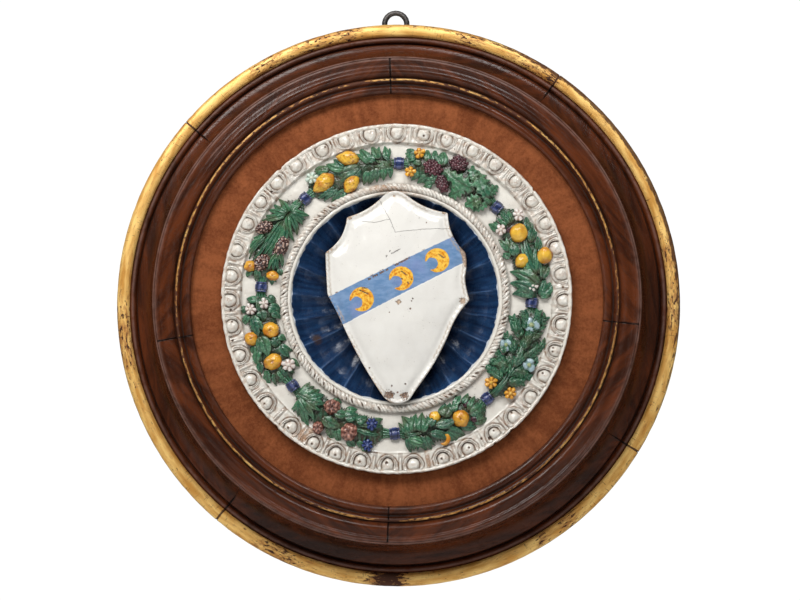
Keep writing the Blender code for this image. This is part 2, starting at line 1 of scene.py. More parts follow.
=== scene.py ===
import math
import bpy
import numpy as np
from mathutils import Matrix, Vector


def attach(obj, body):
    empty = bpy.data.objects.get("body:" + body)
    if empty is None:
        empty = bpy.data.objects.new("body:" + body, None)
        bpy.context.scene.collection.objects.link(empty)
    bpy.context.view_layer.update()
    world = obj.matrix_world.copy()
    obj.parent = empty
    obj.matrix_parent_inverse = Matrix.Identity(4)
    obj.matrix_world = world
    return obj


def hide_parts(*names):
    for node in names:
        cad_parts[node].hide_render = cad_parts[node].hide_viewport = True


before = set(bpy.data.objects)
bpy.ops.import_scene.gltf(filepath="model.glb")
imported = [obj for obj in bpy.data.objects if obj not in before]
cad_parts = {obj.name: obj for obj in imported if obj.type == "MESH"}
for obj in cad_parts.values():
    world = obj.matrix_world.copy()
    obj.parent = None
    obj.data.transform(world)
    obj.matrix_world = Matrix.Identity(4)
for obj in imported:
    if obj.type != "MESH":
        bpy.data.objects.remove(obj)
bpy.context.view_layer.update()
print("frame loaded:", len(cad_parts), "solids")


# Points, grids and meshes

def wallPoint(x, up, out):  # metres right, up and out of the wall, in the row frame
    x, up, out = np.broadcast_arrays(x, up, out)
    return np.stack([x, -out, up], axis=-1).astype(float)


def onRing(turn, radius):  # x = r sin t, up = r cos t, with t in degrees clockwise from the top
    turn = np.radians(turn)
    return radius * np.sin(turn), radius * np.cos(turn)


def ripple(points, size, seed, waves=7):  # a sum of seeded sine waves about this long, mostly -1 to 1
    chance = np.random.default_rng(seed)
    ways = chance.normal(size=(waves, 3))
    ways *= (chance.uniform(0.7, 1.5, waves) / np.linalg.norm(ways, axis=1))[:, None]
    shift = chance.uniform(0, math.tau, waves)
    return np.sin(points @ ways.T * (math.tau / size) + shift).sum(axis=-1) / math.sqrt(waves)


def bump(value, centre, width):  # 1 at the centre, a bell that falls to 0.37 one width away
    return np.exp(-((value - centre) / width) ** 2)


def easeIn(value, low, high):  # 0 below low, 1 above high, a smooth step between
    share = np.clip((value - low) / (high - low), 0, 1)
    return share * share * (3 - 2 * share)


def smoothThrough(points, steps):  # a Catmull-Rom curve through the points, so many steps a span
    p = np.asarray(points, float)
    p = np.concatenate([[2 * p[0] - p[1]], p, [2 * p[-1] - p[-2]]])
    t = np.linspace(0, 1, steps, endpoint=False)[None, :, None]
    a, b, c, d = (p[i:len(p) - 3 + i, None, :] for i in range(4))
    curve = 0.5 * (2 * b + (c - a) * t + (2 * a - 5 * b + 4 * c - d) * t ** 2
                   + (3 * b - a - 3 * c + d) * t ** 3)
    return np.concatenate([curve.reshape(-1, p.shape[1]), p[-2:-1]])


def arc(centre, radii, start, end, count):  # points on an ellipse, degrees from the outward side
    a = np.radians(np.linspace(start, end, count))
    return np.stack([centre[0] + radii[0] * np.cos(a), centre[1] + radii[1] * np.sin(a)], axis=1)


def gridFaces(rows, columns, closeRows, closeColumns):
    r, c = np.meshgrid(np.arange(rows if closeRows else rows - 1),
                       np.arange(columns if closeColumns else columns - 1), indexing="ij")
    farRow, farColumn = (r + 1) % rows, (c + 1) % columns
    return np.stack([r * columns + c, r * columns + farColumn, farRow * columns + farColumn,
                     farRow * columns + c], axis=-1).reshape(-1, 4)


class Heap:  # gathers grids of points into one mesh, with their faces turned outwards
    def __init__(self, *marks):
        self.points, self.faces, self.count = [], [], 0
        self.marks = {mark: [] for mark in marks}

    def add(self, grid, closeRows=False, closeColumns=False, caps=False, **marks):
        rows, columns = grid.shape[:2]
        quads = gridFaces(rows, columns, closeRows, closeColumns)
        flat = grid.reshape(-1, 3)
        corners = flat[quads]
        middle = flat.mean(axis=0)
        ways = np.cross(corners[:, 2] - corners[:, 0], corners[:, 3] - corners[:, 1])
        shut = caps or (closeRows and closeColumns)
        if shut:  # six times the closed shape's volume is positive when its faces point outwards
            outwards = np.einsum("ij,ij->i", corners.mean(axis=1) - middle, ways).sum() > 0
        else:
            outwards = -ways[:, 1].sum() > 0
        polygons = [quads if outwards else quads[:, ::-1]]
        if caps:
            first = np.arange(columns)[None, :]
            last = (rows - 1) * columns + np.arange(columns)[None, ::-1]
            polygons += [first[:, ::-1], last[:, ::-1]] if outwards else [first, last]
        self.faces += [p + self.count for p in polygons]
        self.points.append(flat)
        self.count += len(flat)
        for mark, kept in self.marks.items():
            value = np.asarray(marks.get(mark, 0.0), float)
            kept.append(np.broadcast_to(value, (rows, columns) + value.shape[2:]
                                        if value.ndim > 2 else (rows, columns)).reshape(len(flat), -1))

    def mesh(self, name, sharp=None):
        mesh = bpy.data.meshes.new(name)
        mesh.vertices.add(self.count)
        mesh.vertices.foreach_set("co", np.concatenate(self.points).ravel())
        corners = np.concatenate([f.ravel() for f in self.faces])
        sizes = np.concatenate([np.full(len(f), f.shape[1]) for f in self.faces])
        mesh.loops.add(len(corners))
        mesh.loops.foreach_set("vertex_index", corners)
        mesh.polygons.add(len(sizes))
        mesh.polygons.foreach_set("loop_start", np.concatenate([[0], np.cumsum(sizes)[:-1]]))
        mesh.update(calc_edges=True)
        for mark, kept in self.marks.items():
            value = np.concatenate(kept)
            kind = "FLOAT" if value.shape[1] == 1 else "FLOAT_VECTOR"
            mesh.attributes.new(mark, kind, "POINT").data.foreach_set(
                "value" if kind == "FLOAT" else "vector", value.ravel())
        mesh.shade_smooth()
        if sharp:
            mesh.set_sharp_from_angle(angle=math.radians(sharp))
        return mesh


def place(name, mesh, material, slot, *nodes):
    piece = bpy.data.objects.new(name, mesh)
    bpy.context.scene.collection.objects.link(piece)
    mesh.materials.clear()
    mesh.materials.append(material)
    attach(piece, "root")
    if nodes:
        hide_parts(*nodes)
    return piece


# Shader helpers

class Wiring:  # adds nodes to one tree; an input's value is a number, a tuple or another node's socket
    def __init__(self, tree):
        self.tree = tree

    def node(self, kind, values=(), **settings):
        made = self.tree.nodes.new(kind)
        for key, value in settings.items():
            setattr(made, key, value)
        for key, value in dict(values).items():
            if isinstance(value, bpy.types.NodeSocket):
                self.tree.links.new(value, made.inputs[key])
            else:
                made.inputs[key].default_value = value
        return made

    def math(self, operation, a, b=0.0, clamp=False):
        return self.node("ShaderNodeMath", {0: a, 1: b}, operation=operation,
                         use_clamp=clamp).outputs[0]

    def mix(self, share, a, b, way="MIX"):
        a, b = (v if isinstance(v, bpy.types.NodeSocket) or len(v) == 4 else (*v, 1.0) for v in (a, b))
        return self.node("ShaderNodeMix", {0: share, 6: a, 7: b}, data_type="RGBA",
                         blend_type=way).outputs[2]

    def span(self, value, low, high, toLow=0.0, toHigh=1.0, smooth=True):
        return self.node("ShaderNodeMapRange", {0: value, 1: low, 2: high, 3: toLow, 4: toHigh},
                         interpolation_type="SMOOTHSTEP" if smooth else "LINEAR").outputs[0]

    def noise(self, vector, scale, detail=3.0, rough=0.5, twist=0.0):
        return self.node("ShaderNodeTexNoise", {"Vector": vector, "Scale": scale, "Detail": detail,
                                                "Roughness": rough, "Distortion": twist}).outputs[0]

    def stretch(self, vector, scale):
        return self.node("ShaderNodeMapping", {"Vector": vector, "Scale": scale}).outputs[0]

    def mark(self, name, kind="Fac"):
        return self.node("ShaderNodeAttribute", attribute_name=name).outputs[kind]

    def objectPoint(self):
        return self.node("ShaderNodeTexCoord").outputs["Object"]

    def group(self, tree, **values):
        return self.node("ShaderNodeGroup", {k: (*v, 1.0) if isinstance(v, tuple) and len(v) == 3
                                             else v for k, v in values.items()},
                         node_tree=tree).outputs


def newGroup(name, inputs, outputs):  # inputs and outputs are name: default, where a tuple is a colour
    tree = bpy.data.node_groups.new(name, "ShaderNodeTree")
    for side, sockets in (("INPUT", inputs), ("OUTPUT", outputs)):
        for label, default in sockets.items():
            kind = {tuple: "Color", str: "Vector"}.get(type(default), "Float")
            made = tree.interface.new_socket(name=label, in_out=side, socket_type="NodeSocket" + kind)
            if kind == "Float":
                made.default_value = default
            if kind == "Color":
                made.default_value = (*default, 1.0)
    given = tree.nodes.new("NodeGroupInput").outputs
    return Wiring(tree), given, tree.nodes.new("NodeGroupOutput").inputs


def newMaterial(name, **constants):  # constants go straight onto the shader's own sockets
    material = bpy.data.materials.new(name)
    material.use_nodes = True
    shader = material.node_tree.nodes["Principled BSDF"]
    for key, value in constants.items():
        shader.inputs[key.replace("_", " ")].default_value = value
    return material, Wiring(material.node_tree), shader


def finishShader(wiring, shader, bumpDepth, Height=None, **links):
    for key, socket in links.items():
        wiring.tree.links.new(socket, shader.inputs[key.replace("_", " ")])
    if Height is not None:
        made = wiring.node("ShaderNodeBump", {"Height": Height, "Distance": bumpDepth, "Strength": 1.0})
        wiring.tree.links.new(made.outputs[0], shader.inputs["Normal"])


# Shared effects

def grainGroup():  # polished wood: long fibres, pores, lighter edges that are rubbed wear and a painted highlight on the frame's ridges, and darker grooves that are dark joints and painted shade in the quirks
    w, given, out = newGroup("woodGrain", {
        "Vector": "", "Dark": (0.032, 0.0075, 0.0022), "Light": (0.108, 0.0255, 0.0068),
        "Rubbed": (0.200, 0.112, 0.090), "Edge": 0.0, "Groove": 0.0}, {
        "Colour": (0, 0, 0), "Roughness": 0.0, "Height": 0.0})
    fibres = w.noise(w.stretch(given["Vector"], (9.0, 75.0, 75.0)), 1.0, 5.0, 0.55, 0.9)
    figure = w.noise(w.stretch(given["Vector"], (3.0, 22.0, 22.0)), 1.0, 2.0, 0.5, 0.5)
    pores = w.span(w.noise(w.stretch(given["Vector"], (55.0, 1300.0, 1300.0)), 1.0, 2.0), 0.56, 0.72)
    share = w.math("ADD", w.math("MULTIPLY", fibres, 0.65), w.math("MULTIPLY", figure, 0.5))
    colour = w.mix(w.span(share, 0.42, 0.74), given["Dark"], given["Light"])
    colour = w.mix(w.math("MULTIPLY", pores, 0.55), colour, (0.012, 0.005, 0.003))
    scuff = w.noise(w.objectPoint(), 70.0, 4.0, 0.65)
    # Lighter where the edge mark is: rubbed wear, and on the frame's ridges and the fillet's crown a painted
    # highlight
    rubbed = w.math("MULTIPLY", given["Edge"], w.span(scuff, 0.30, 0.62, 0.30, 1.0))
    colour = w.mix(w.math("MULTIPLY", rubbed, 0.6), colour, given["Rubbed"])
    # Darker where the groove mark is: dark joints at the segments' ends, and painted shade in the quirks and
    # under the sight edge
    seamAndShade = w.math("MULTIPLY", given["Groove"], w.span(scuff, 0.2, 0.6, 0.6, 1.0))
    colour = w.mix(seamAndShade, colour, (0.006, 0.003, 0.002))
    haze = w.span(w.noise(w.objectPoint(), 26.0, 3.0), 0.35, 0.7, 0.0, 0.10)
    rough = w.math("ADD", w.math("ADD", 0.19, haze), w.math("MULTIPLY", seamAndShade, 0.35))
    rough = w.math("ADD", rough, w.math("MULTIPLY", rubbed, 0.24))
    w.tree.links.new(colour, out["Colour"])
    w.tree.links.new(w.math("ADD", rough, w.math("MULTIPLY", pores, 0.15)), out["Roughness"])
    w.tree.links.new(w.math("SUBTRACT", w.math("MULTIPLY", fibres, 0.35), pores), out["Height"])
    return w.tree


def gildingGroup():  # worn leaf: clean gold, rubbed warm bole, dark nicks along and cracks across
    w, given, out = newGroup("wornGilding", {"Strip": "", "Rub": 0.0, "Groove": 0.0}, {
        "Colour": (0, 0, 0), "Roughness": 0.0, "Metallic": 0.0, "Height": 0.0})
    soft = w.noise(w.stretch(given["Strip"], (22.0, 110.0, 1.0)), 1.0, 4.0)
    gold = w.mix(w.span(soft, 0.3, 0.7), (0.66, 0.32, 0.068), (1.0, 0.66, 0.22))
    bole = w.span(w.math("ADD", w.noise(w.stretch(given["Strip"], (55.0, 210.0, 1.0)), 1.0, 5.0, 0.7),
                         w.math("MULTIPLY", given["Rub"], 0.14)), 0.535, 0.70)
    chips = w.span(w.math("ADD", w.noise(w.stretch(given["Strip"], (95.0, 300.0, 1.0)), 1.0, 3.0, 0.6),
                          w.math("MULTIPLY", given["Rub"], 0.130)), 0.672, 0.700)
    cracks = w.math("MULTIPLY", w.span(w.noise(w.stretch(given["Strip"], (620.0, 60.0, 1.0)), 1.0, 1.0),
                                       0.665, 0.69),
                    w.span(w.noise(w.stretch(given["Strip"], (18.0, 18.0, 1.0)), 1.0, 1.0), 0.44, 0.56))
    torn = w.noise(w.stretch(given["Strip"], (70.0, 260.0, 1.0)), 1.0, 4.0, 0.65)
    torn = w.math("ADD", given["Groove"], w.math("MULTIPLY", w.math("SUBTRACT", torn, 0.5), 1.25))
    bare = w.math("MAXIMUM", w.math("MAXIMUM", chips, w.math("MULTIPLY", cracks, 0.7)),
                  w.span(torn, 0.30, 0.50, 0.0, 0.92))
    colour = w.mix(w.math("MULTIPLY", bole, 0.65), gold, (0.30, 0.105, 0.035))
    wood = w.mix(soft, (0.022, 0.008, 0.004), (0.115, 0.042, 0.022))
    colour = w.mix(bare, colour, wood)
    rough = w.math("ADD", w.span(soft, 0.2, 0.8, 0.30, 0.44), w.math("MULTIPLY", bole, 0.15))
    w.tree.links.new(colour, out["Colour"])
    w.tree.links.new(w.math("ADD", rough, w.math("MULTIPLY", bare, 0.25)), out["Roughness"])
    w.tree.links.new(w.math("MULTIPLY", w.math("SUBTRACT", 1.0, bare), 0.25), out["Metallic"])
    w.tree.links.new(w.math("SUBTRACT", w.math("MULTIPLY", soft, 0.3), bare), out["Height"])
    return w.tree


def glazeGroup():  # tin glaze: darker where the cavity mark is, which is pooled glaze in hollows and painted shade under and between pieces, thin worn edges over the clay, pinholes
    # A cavity over 1 turns dark as a hole: real holes, and painted shade on the leaves' walls
    w, given, out = newGroup("tinGlaze", {
        "Colour": (0.8, 0.76, 0.7), "Deep": (0.3, 0.2, 0.13), "Clay": (0.4, 0.2, 0.12),
        "Patchy": 0.3, "Cavity": 0.0, "Edge": 0.0, "Stain": 0.0, "Wear": 0.3, "Pinholes": 0.3}, {
        "Colour": (0, 0, 0), "Roughness": 0.0, "Height": 0.0})
    point = w.objectPoint()
    broad = w.noise(point, 55.0, 4.0, 0.6)
    fine = w.noise(point, 420.0, 3.0, 0.6)
    hollow = w.math("MULTIPLY", w.span(given["Cavity"], 0.0, 1.0, smooth=False),
                    w.span(fine, 0.15, 0.60, 0.55, 1.0))
    pooledAndShaded = w.math("ADD", w.math("MULTIPLY", given["Patchy"], w.span(broad, 0.35, 0.7)), hollow,
                    clamp=True)
    colour = w.mix(pooledAndShaded, given["Colour"], given["Deep"])
    # This browns the glaze toward the clay colour: real stains, and a painted shadow on the rope and fillet
    # under the shield's tip
    soaked = w.math("MULTIPLY", given["Stain"], w.span(fine, 0.25, 0.65, 0.35, 1.0), clamp=True)
    colour = w.mix(soaked, colour, given["Clay"])
    ground = w.math("ADD", w.math("MULTIPLY", fine, 0.55), w.math("MULTIPLY", broad, 0.45))
    bare = w.math("MULTIPLY", w.span(w.math("ADD", ground, w.math("MULTIPLY", given["Edge"], 0.22)),
                                     0.70, 0.76), given["Wear"], clamp=True)
    cells = w.node("ShaderNodeTexVoronoi", {"Vector": point, "Scale": 230.0}).outputs["Distance"]
    holes = w.math("MULTIPLY", w.span(cells, 0.10, 0.17, 1.0, 0.0), w.span(broad, 0.52, 0.62))
    holes = w.math("MAXIMUM", w.math("MULTIPLY", holes, given["Pinholes"], clamp=True),
                   w.span(given["Cavity"], 1.25, 1.65))
    colour = w.mix(bare, colour, given["Clay"])
    colour = w.mix(holes, colour, (0.050, 0.030, 0.020))
    rough = w.math("ADD", w.span(broad, 0.3, 0.7, 0.12, 0.22), w.math("MULTIPLY", bare, 0.5))
    w.tree.links.new(colour, out["Colour"])
    w.tree.links.new(w.math("ADD", rough, w.math("MULTIPLY", holes, 0.5), clamp=True), out["Roughness"])
    relief = w.math("SUBTRACT", w.math("ADD", w.math("MULTIPLY", broad, 1.1),
                                       w.math("MULTIPLY", fine, 0.28)), w.math("MULTIPLY", bare, 0.7))
    w.tree.links.new(w.math("SUBTRACT", relief, w.math("MULTIPLY", holes, 1.2)), out["Height"])
    return w.tree


woodGrain, wornGilding, tinGlaze = grainGroup(), gildingGroup(), glazeGroup()


def glazeMaterial(name, colour, deep, clay=(0.32, 0.17, 0.10), patchy=0.3, wear=0.5, pinholes=0.25,
                  depth=0.0012, tint=None, readsStainAndShadow=False):
    # tint, where it is given, is the second colour that the piece's own tint attribute leads to
    material, w, shader = newMaterial(name, IOR=1.52, Specular_IOR_Level=0.6)
    base = w.mix(w.mark("tint"), colour, tint) if tint else (*colour, 1.0)
    made = w.group(tinGlaze, Colour=base, Deep=deep, Clay=clay, Patchy=patchy, Cavity=w.mark("cavity"),
                   Edge=w.mark("edge"), Stain=w.mark("stain") if readsStainAndShadow else 0.0, Wear=wear,
                   Pinholes=pinholes)
    finishShader(w, shader, depth, Height=made["Height"], Base_Color=made["Colour"],
                 Roughness=made["Roughness"])
    return material


# Frame: two tiers of turned and sawn segments

frameShape = {
    "outerJoints": {"top": (54.3, 139.6), "left": (139.6, 230.4), "bottom": (230.4, 327.8),
                    "right": (327.8, 414.3)},  # degrees anticlockwise from the right
    "innerJoints": {"upper_left": (91.5, 190.4), "lower_left": (190.4, 268.0),
                    "lower_right": (268.0, 353.5), "upper_right": (353.5, 451.5)},
    "gap": 0.0005, "columnsPerDegree": 1.15,
    "bead": (0.4392, 0.0125, 0.0108),  # radius of its middle, height of its middle, half width
    "beadFullness": 0.77,
    # where the gilding is rubbed through, and the side on which its outer edge is bare wood: degrees
    # clockwise from the top, then half the width in degrees
    "rubbedSpots": ((15, 3), (30, 5), (35, 2), (80, 4), (92, 6), (142, 3), (149, 2), (182, 5),
                    (182.5, 3), (181, 2), (205, 6), (262, 9), (331, 4), (342, 5), (350, 3)),
    "bareSide": (58, 48),
}


def outerProfile():
    # (radius, out, gilt, edge, groove) round the outer tier's section. The bead is a circle whose
    # cosine and sine are raised to a power under 1, which makes it fuller
    cove = arc((0.4145, 0.0960), (0.037, 0.0765), 180, 270, 22)
    step = smoothThrough([(0.4145, 0.0195), (0.4160, 0.0178), (0.4166, 0.0140), (0.4180, 0.0138),
                          (0.4196, 0.0178), (0.4235, 0.0202), (0.4268, 0.0190), (0.4283, 0.0165)], 3)[1:]
    middle, height, half = frameShape["bead"]
    bead = arc((0.0, 0.0), (1.0, 1.0), 148, -55, 26)
    bead = np.array([middle, height]) + half * np.sign(bead) * np.abs(bead) ** frameShape["beadFullness"]
    # edge paints a highlight along the ridge by the inner tier, along the top of the cove and on the fillet's
    # crown
    rows = [(0.3745, 0.0, 0, 0, 0), (0.3745, 0.05, 0, 0, 0), (0.3745, 0.0970, 0, 0, 0.3),
            (0.3748, 0.0982, 0, 1.0, 0), (0.3757, 0.0984, 0, 1.0, 0), (0.3767, 0.0977, 0, 0.95, 0)]
    # groove darkens the cove a little and paints shade into the quirk under the fillet
    rows += [(r, h, 0, 0.85 * bump(h, 0.0975, 0.0070), 0.22 * bump(r, 0.399, 0.009)) for r, h in cove]
    rows += [(r, h, 0, bump(r, 0.4240, 0.002), 0.9 * bump(r, 0.4168, 0.0012)) for r, h in step]
    rows += [(r, h, 1, 0, 0.62 * easeIn(r - middle, -0.0020, 0.0062)
              + 0.5 * easeIn(middle - r, 0.0088, 0.0106)) for r, h in bead]
    rows += [(0.4440, 0.0, 0, 0, 0), (0.41, 0.0, 0, 0, 0)]
    return np.array(rows)


def innerProfile():  # the same for the inner tier
    sight = arc((0.3268, 0.0868), (0.0068, 0.0062), 195, 48, 14)
    fillet = smoothThrough([(0.3335, 0.0888), (0.3352, 0.0890), (0.3378, 0.0934), (0.3405, 0.0947),
                            (0.3432, 0.0938), (0.3446, 0.0918)], 4)
    roll = smoothThrough([(0.3452, 0.0922), (0.3474, 0.0962), (0.3505, 0.0988), (0.3540, 0.0998),
                          (0.3562, 0.0995), (0.3598, 0.0981), (0.3622, 0.0972), (0.3652, 0.0969),
                          (0.3670, 0.0979), (0.3686, 0.0990), (0.3704, 0.0994), (0.3722, 0.0992),
                          (0.3735, 0.0988), (0.3741, 0.0982), (0.3742, 0.0968)], 3)
    # groove paints shade under the sight edge, in the quirks beside the gilt fillet and at the foot of the
    # roll
    rows = [(0.3350, 0.0203, 0, 0, 0), (0.3350, 0.0805, 0, 0, 0), (0.3205, 0.0805, 0, 0, 0.5)]
    # edge paints a faint highlight on the sight bead here, and a full one along the ridge at the roll's outer
    # side
    rows += [(r, h, 0, 0.3 * bump(r, 0.322, 0.002), 0) for r, h in sight]
    rows += [(r, h, 0.54 * (0.3394 < r < 0.3428), 0,
              max(0.9 * bump(r, 0.3345, 0.0014), 0.8 * bump(r, 0.3442, 0.0010), 0.18)) for r, h in fillet]
    rows += [(r, h, 0, 1.0 * bump(r, 0.3738, 0.0026), 0.7 * bump(r, 0.3450, 0.0012)) for r, h in roll]
    rows += [(0.3742, 0.05, 0, 0, 0), (0.3742, 0.0203, 0, 0, 0)]
    return np.array(rows)


def frameSegment(name, profile, start, end, seed):
    # A profile carried round an arc: x = r cos a, up = r sin a, out = h. The end faces are square
    # to the joint, and the section shrinks a hair at each end, where the sawn edge is rounded, but
    # less where the joint crosses the outer tier's cove
    sizes = frameShape
    isOuter = profile[:, 0].max() > 0.40
    columns = int((end - start) * sizes["columnsPerDegree"])
    arcLength = math.radians(end - start) * 0.40
    fromEnd = np.array([0.0, 0.0003, 0.0008, 0.0016, 0.0024])
    shrink = np.array([0.0014, 0.0008, 0.0003, 0.0, 0.0])
    ends = fromEnd / arcLength
    share = np.concatenate([ends, np.linspace(0.012, 0.988, columns), 1 - ends[::-1]])
    drop = np.concatenate([shrink, np.zeros(columns), shrink[::-1]])
    inwards = profile[:, :2].mean(axis=0) - profile[:, :2]
    inwards /= np.linalg.norm(inwards, axis=1)[:, None]
    tight = 1 - 0.75 * isOuter * easeIn(profile[:, 1], 0.020, 0.030)
    section = profile[None, :, :2] + inwards[None] * drop[:, None, None] * tight[None, :, None]
    r, h = section[..., 0], section[..., 1]
    held = np.degrees(np.arcsin(sizes["gap"] / 2 / r))
    angle = start + held + share[:, None] * (end - start - 2 * held)
    a = np.radians(angle)
    middle = math.radians((start + end) / 2)
    gilt, edge, groove = (np.broadcast_to(profile[None, :, i], r.shape) for i in (2, 3, 4))
    points = wallPoint(r * np.cos(a), r * np.sin(a), h)
    worn = ripple(points, 0.035, seed) * 0.00010 + ripple(points, 0.009, seed + 1) * 0.00005
    r = r - np.abs(worn) * (h > 0.004) * (0.3 + 2 * gilt)
    x, up = r * np.cos(a), r * np.sin(a)
    chance = np.random.default_rng(seed)
    shift = chance.uniform(-3, 3, 3)
    grain = np.stack([-x * math.sin(middle) + up * math.cos(middle) + shift[0],
                      x * math.cos(middle) + up * math.sin(middle) + shift[1], h + shift[2]], axis=-1)
    along = np.concatenate([[0], np.cumsum(np.linalg.norm(np.diff(profile[:, :2], axis=0), axis=1))])
    strip = np.stack([a * 0.44, np.broadcast_to(along, a.shape), np.zeros_like(a)], axis=-1)
    clockwise = (90 - angle) % 360
    rub = sum(bump((clockwise - spot + 180) % 360, 180, width) for spot, width in sizes["rubbedSpots"])
    rub = rub + 1.0 * (not isOuter)
    bareAt, bareWide = sizes["bareSide"]
    thin = 0.28 + 0.72 * bump((clockwise - bareAt + 180) % 360, 180, bareWide)
    groove = groove * np.where(gilt > 0.5, np.clip(thin, 0, 1), 1.0)
    seam = np.interp(np.minimum(share, 1 - share) * arcLength, [0, 0.0009, 0.0020], [1, 0.8, 0])
    seam = seam[:, None] * tight[None, :]
    heap = Heap("gilt", "edge", "groove", "grain", "strip", "rub")
    heap.add(wallPoint(x, up, h), closeColumns=True, caps=True, gilt=gilt, edge=edge,
             groove=np.maximum(groove, seam), grain=grain, strip=strip, rub=rub)
    return heap.mesh(name, sharp=50)


def frameMaterial():
    material, w, shader = newMaterial("polishedWalnutAndGilding", IOR=1.5, Specular_IOR_Level=0.23)
    wood = w.group(woodGrain, Vector=w.mark("grain", "Vector"), Edge=w.mark("edge"),
                   Groove=w.mark("groove"))
    gold = w.group(wornGilding, Strip=w.mark("strip", "Vector"), Rub=w.mark("rub"),
                   Groove=w.mark("groove"))
    gilt = w.span(w.mark("gilt"), 0.35, 0.65)
    finishShader(
        w, shader, 0.00022,
        Base_Color=w.mix(gilt, wood["Colour"], gold["Colour"]),
        Roughness=w.span(gilt, 0, 1, wood["Roughness"], gold["Roughness"], False),
        Metallic=w.math("MULTIPLY", gilt, gold["Metallic"]),
        Height=w.span(gilt, 0, 1, wood["Height"], gold["Height"], False))
    return material


def cutPocket(mesh, low, high):
    # Takes a box out of a closed mesh, for the plate let into the back of the top segment
    box = Heap()
    x, up = np.array([low[0], high[0], high[0], low[0]]), np.array([low[1], low[1], high[1], high[1]])
    box.add(np.stack([wallPoint(x, up, h) for h in (low[2], high[2])]), closeColumns=True, caps=True)
    blank = bpy.data.objects.new("pocketBlank", mesh)
    cutter = bpy.data.objects.new("pocketCutter", box.mesh("pocketCutter"))
    for item in (blank, cutter):
        bpy.context.scene.collection.objects.link(item)
    cut = blank.modifiers.new("pocket", "BOOLEAN")
    cut.operation, cut.object, cut.solver = "DIFFERENCE", cutter, "EXACT"
    graph = bpy.context.evaluated_depsgraph_get()
    carved = bpy.data.meshes.new_from_object(blank.evaluated_get(graph))
    for item in (blank, cutter):
        bpy.data.objects.remove(item, do_unlink=True)
    return carved


def buildFrame():
    finish = frameMaterial()
    tiers = (("outer_frame", outerProfile(), frameShape["outerJoints"]),
             ("inner_frame", innerProfile(), frameShape["innerJoints"]))
    seed = 11
    for tier, profile, joints in tiers:
        for side, (start, end) in joints.items():
            node = tier + "_" + side
            mesh = frameSegment(node + "_turned", profile, start, end, seed)
            if node == "outer_frame_top":
                mesh = cutPocket(mesh, (-0.032, 0.383, -0.01), (0.026, 0.470, 0.0105))
            place(node + "_turned", mesh, finish, "frame_wood", node)
            seed += 5


# Backboard and velvet

boardShape = {"radius": 0.3740, "thickness": 0.0200, "boards": 6, "groove": 0.0011}


def buildBackboard():
    # Boards side by side, each a slab whose ends follow the circle: up = +-sqrt(R^2 - x^2) times v
    heap = Heap("edge", "groove", "grain")
    radius, thick, groove = boardShape["radius"], boardShape["thickness"], boardShape["groove"]
    lines = np.linspace(-radius, radius, boardShape["boards"] + 1)
    chance = np.random.default_rng(3)
    for left, right in zip(lines[:-1], lines[1:]):
        sides = np.array([left + groove / 2, right - groove / 2]) / radius
        swing = np.arcsin(np.clip(sides, -0.9985, 0.9985))
        x = radius * np.sin(np.linspace(*swing, 22))
        around = np.concatenate([x, x[::-1]])
        out = np.concatenate([np.full(22, thick), np.zeros(22)])
        inset = np.zeros(44)
        inset[[0, 21, 22, 43]] = 0.0012
        out = np.where(out > 0.01, out - inset, inset)
        v = np.array([-1, -0.996, -0.5, 0, 0.5, 0.996, 1])[:, None]
        up = v * np.sqrt(radius ** 2 - around[None, :] ** 2)
        grid = wallPoint(np.broadcast_to(around, up.shape), up, np.broadcast_to(out, up.shape))
        shift = chance.uniform(-2, 2, 3)
        grain = np.stack([up + shift[0], around + 0 * up + shift[1], out + 0 * up + shift[2]], axis=-1)
        seam = np.broadcast_to((inset > 0) * 0.8, up.shape)
        heap.add(grid, closeColumns=True, caps=True, grain=grain, groove=seam)
    turn = np.linspace(0, 360, 180, endpoint=False)[:, None]
    r = np.array([0.2718, 0.3347, 0.3347, 0.2718])[None, :]
    x, up = onRing(turn, r)
    drum = wallPoint(x, up, np.array([0.0203, 0.0203, 0.0782, 0.0782])[None, :])
    heap.add(drum, closeRows=True, closeColumns=True, grain=drum)
    material, w, shader = newMaterial("plainSoftwood", IOR=1.45)
    wood = w.group(woodGrain, Vector=w.mark("grain", "Vector"), Dark=(0.17, 0.095, 0.045),
                   Light=(0.36, 0.24, 0.13), Rubbed=(0.4, 0.3, 0.2), Groove=w.mark("groove"))
    finishShader(w, shader, 0.0008, Height=wood["Height"], Base_Color=wood["Colour"],
                 Roughness=w.math("ADD", wood["Roughness"], 0.42))
    place("backboard_boards", heap.mesh("backboard_boards", sharp=35), material, "backboard_wood",
          "backboard")


velvetShape = {"inner": 0.27165, "outer": 0.33485, "crown": 0.07945, "turnedIn": 0.0130,
               "pucker": 0.0002}


